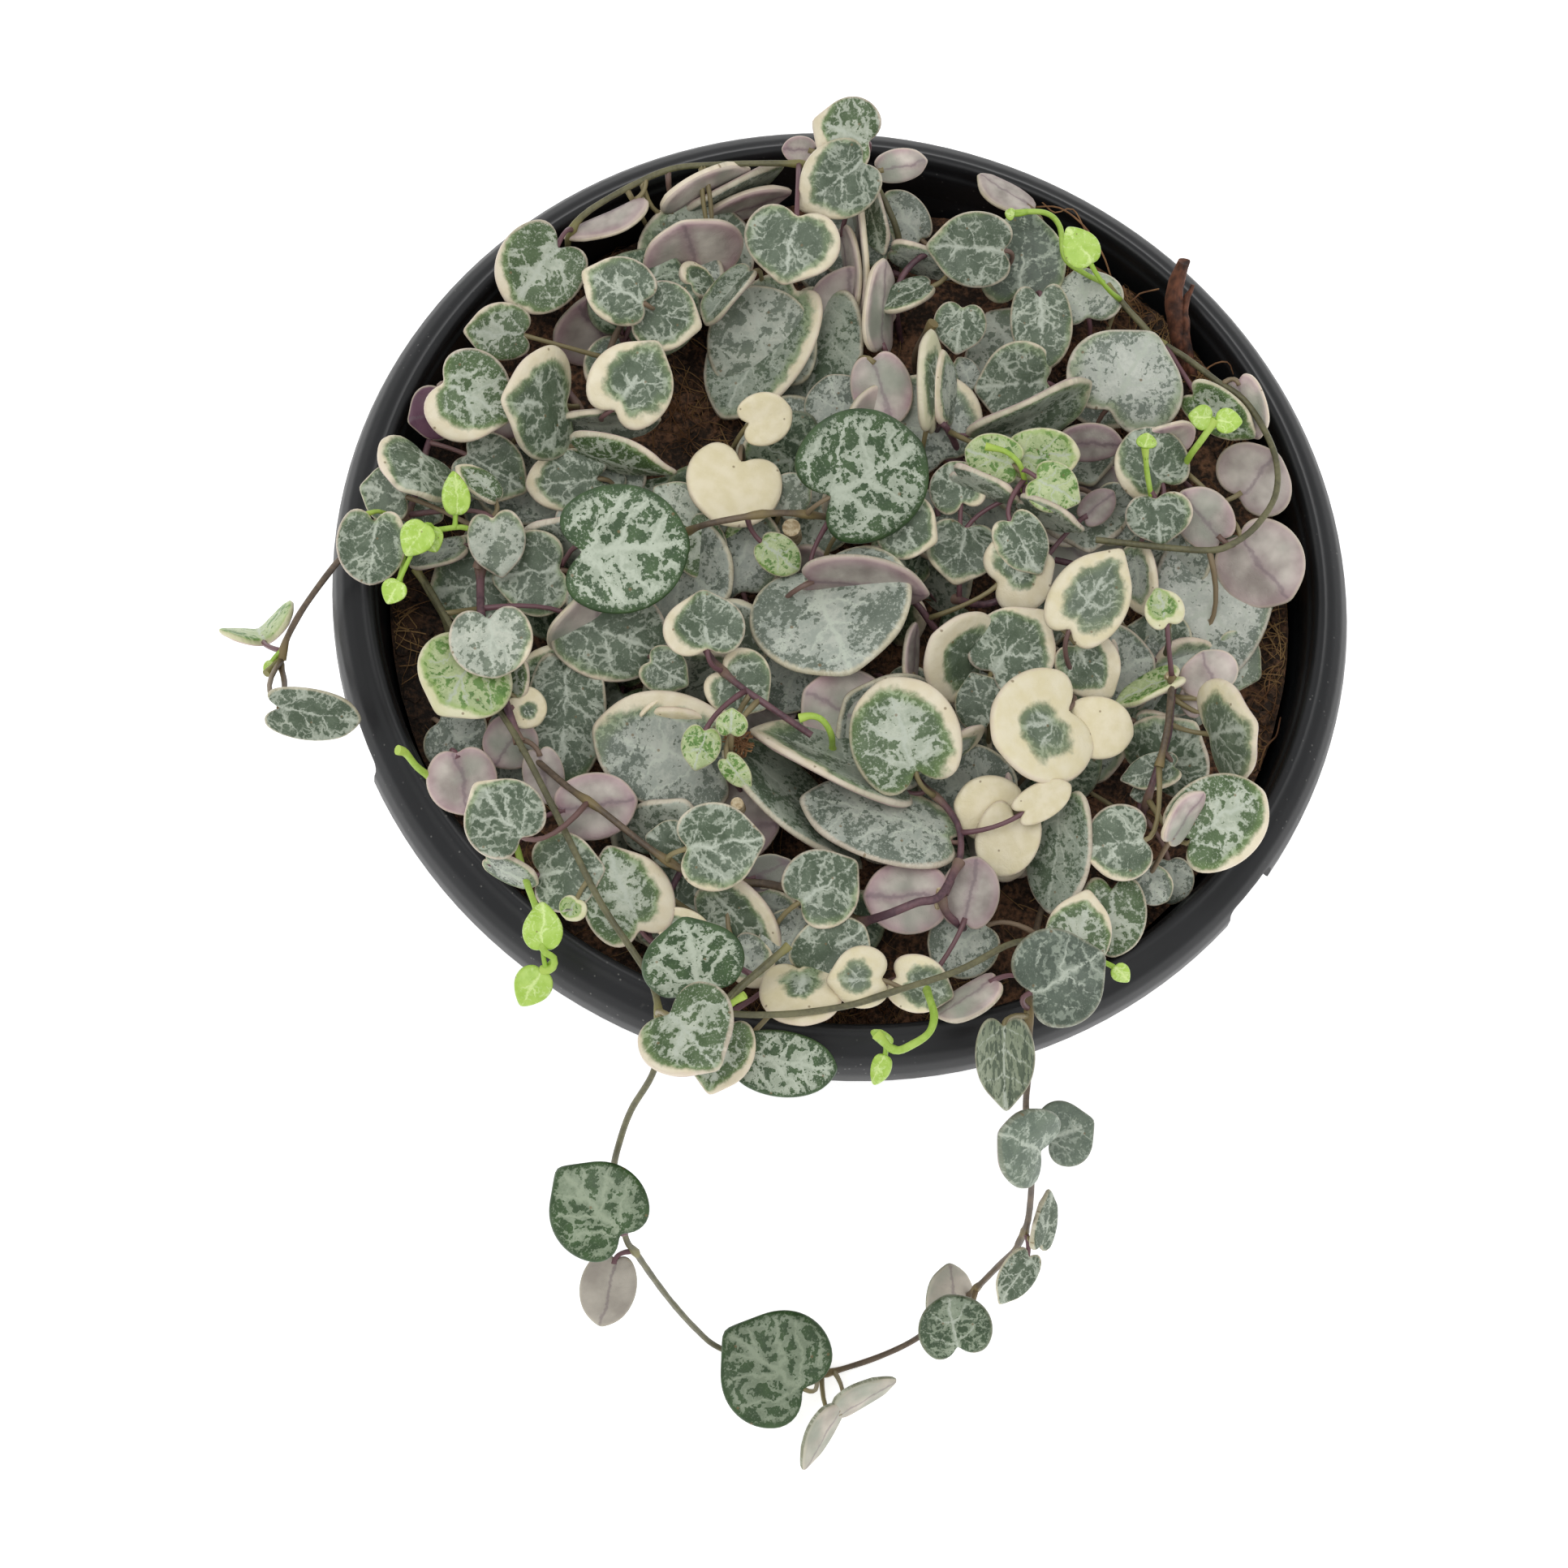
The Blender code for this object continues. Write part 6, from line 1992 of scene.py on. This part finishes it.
class HEARTS_OT_stage(bpy.types.Operator):
    """Sets the pale floor, the soft light and the camera"""

    bl_idname = "hearts.stage"
    bl_label = "Stage"

    def execute(self, context):
        sizes = context.scene.hearts_stage
        deselect()
        bpy.ops.mesh.primitive_plane_add(size=FLOOR_WIDTH, location=(0, 0, -FLOOR_DROP))
        floor = bpy.context.object
        bpy.ops.object.transform_apply(location=True)
        floor.name = "floor"
        finish = Finish("pale_floor")
        floor.data.materials.append(finish.dress(
            Base_Color=(*sizes.floor, 1.0), Roughness=0.9, Specular_IOR_Level=0.1,
            Emission_Color=(1, 1, 1, 1), Emission_Strength=sizes.glow,
        ))

        world = context.scene.world or bpy.data.worlds.new("soft_sky")
        context.scene.world = world
        world.use_nodes = True
        sky = world.node_tree.nodes.get("Background")
        sky.inputs["Color"].default_value = (1, 1, 1, 1)
        sky.inputs["Strength"].default_value = sizes.sky
        towards = -EYE_FORWARD
        self.lamp("key", sizes.key, 0.5, EYE_AIM + 0.9 * towards - 0.22 * EYE_RIGHT + 0.28 * EYE_UP)
        self.lamp("fill", 0.4 * sizes.key, 0.6, EYE_AIM + 0.8 * towards + 0.5 * EYE_RIGHT - 0.25 * EYE_UP)

        camera = bpy.data.cameras.new("camera")
        camera.type = "PERSP"
        camera.sensor_fit = "HORIZONTAL"
        camera.sensor_width = SENSOR_WIDTH
        camera.lens = EYE_FOCAL / PICTURE_WIDTH * SENSOR_WIDTH
        camera.clip_start = 0.01
        item = added("camera", camera)
        turned = Matrix((EYE_RIGHT, EYE_UP, -EYE_FORWARD)).transposed().to_4x4()
        item.matrix_world = Matrix.Translation(EYE) @ turned
        context.scene.camera = item
        context.scene.view_settings.view_transform = "Standard"
        return {"FINISHED"}

    def lamp(self, name, power, size, place):
        """A soft square light that shines at the plant."""
        light = bpy.data.lights.new(name, "AREA")
        light.energy = power
        light.size = size
        item = added(name, light)
        item.location = place
        item.rotation_euler = (EYE_AIM - place).to_track_quat("-Z", "Y").to_euler()


class HEARTS_PT_sidebar(bpy.types.Panel):
    bl_idname = "HEARTS_PT_sidebar"
    bl_label = "Potted string of hearts"
    bl_space_type = "VIEW_3D"
    bl_region_type = "UI"
    bl_category = "Hearts"

    def draw(self, context):
        for name, operators in PANEL_ROWS:
            box = self.layout.box()
            group = getattr(context.scene, name)
            for value in group.bl_rna.properties:
                if value.identifier not in ("rna_type", "name"):
                    box.prop(group, value.identifier)
            for operator in operators:
                box.operator(operator)


PANEL_ROWS = (
    ("hearts_stage", ("hearts.stage",)),
    ("hearts_pot", ("hearts.pot",)),
    ("hearts_soil", ("hearts.soil", "hearts.dry_stem")),
    ("hearts_stems", ("hearts.stems",)),
    ("hearts_leaves", ("hearts.leaves",)),
)
GROUPS = {
    "hearts_pot": HeartsPotSizes,
    "hearts_soil": HeartsSoilSizes,
    "hearts_stems": HeartsStemSizes,
    "hearts_leaves": HeartsLeafSizes,
    "hearts_stage": HeartsStageSizes,
}
CLASSES = (
    *GROUPS.values(),
    HEARTS_OT_stage,
    HEARTS_OT_pot,
    HEARTS_OT_soil,
    HEARTS_OT_dry_stem,
    HEARTS_OT_stems,
    HEARTS_OT_leaves,
    HEARTS_PT_sidebar,
)


def register():
    for item in CLASSES:
        bpy.utils.register_class(item)
    for name, group in GROUPS.items():
        setattr(bpy.types.Scene, name, bpy.props.PointerProperty(type=group))


def unregister():
    for name in GROUPS:
        delattr(bpy.types.Scene, name)
    for item in reversed(CLASSES):
        bpy.utils.unregister_class(item)


def main():
    register()
    for _, operators in PANEL_ROWS:
        for operator in operators:
            group, name = operator.split(".")
            getattr(getattr(bpy.ops, group), name)()
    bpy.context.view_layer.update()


if __name__ == "__main__":
    main()
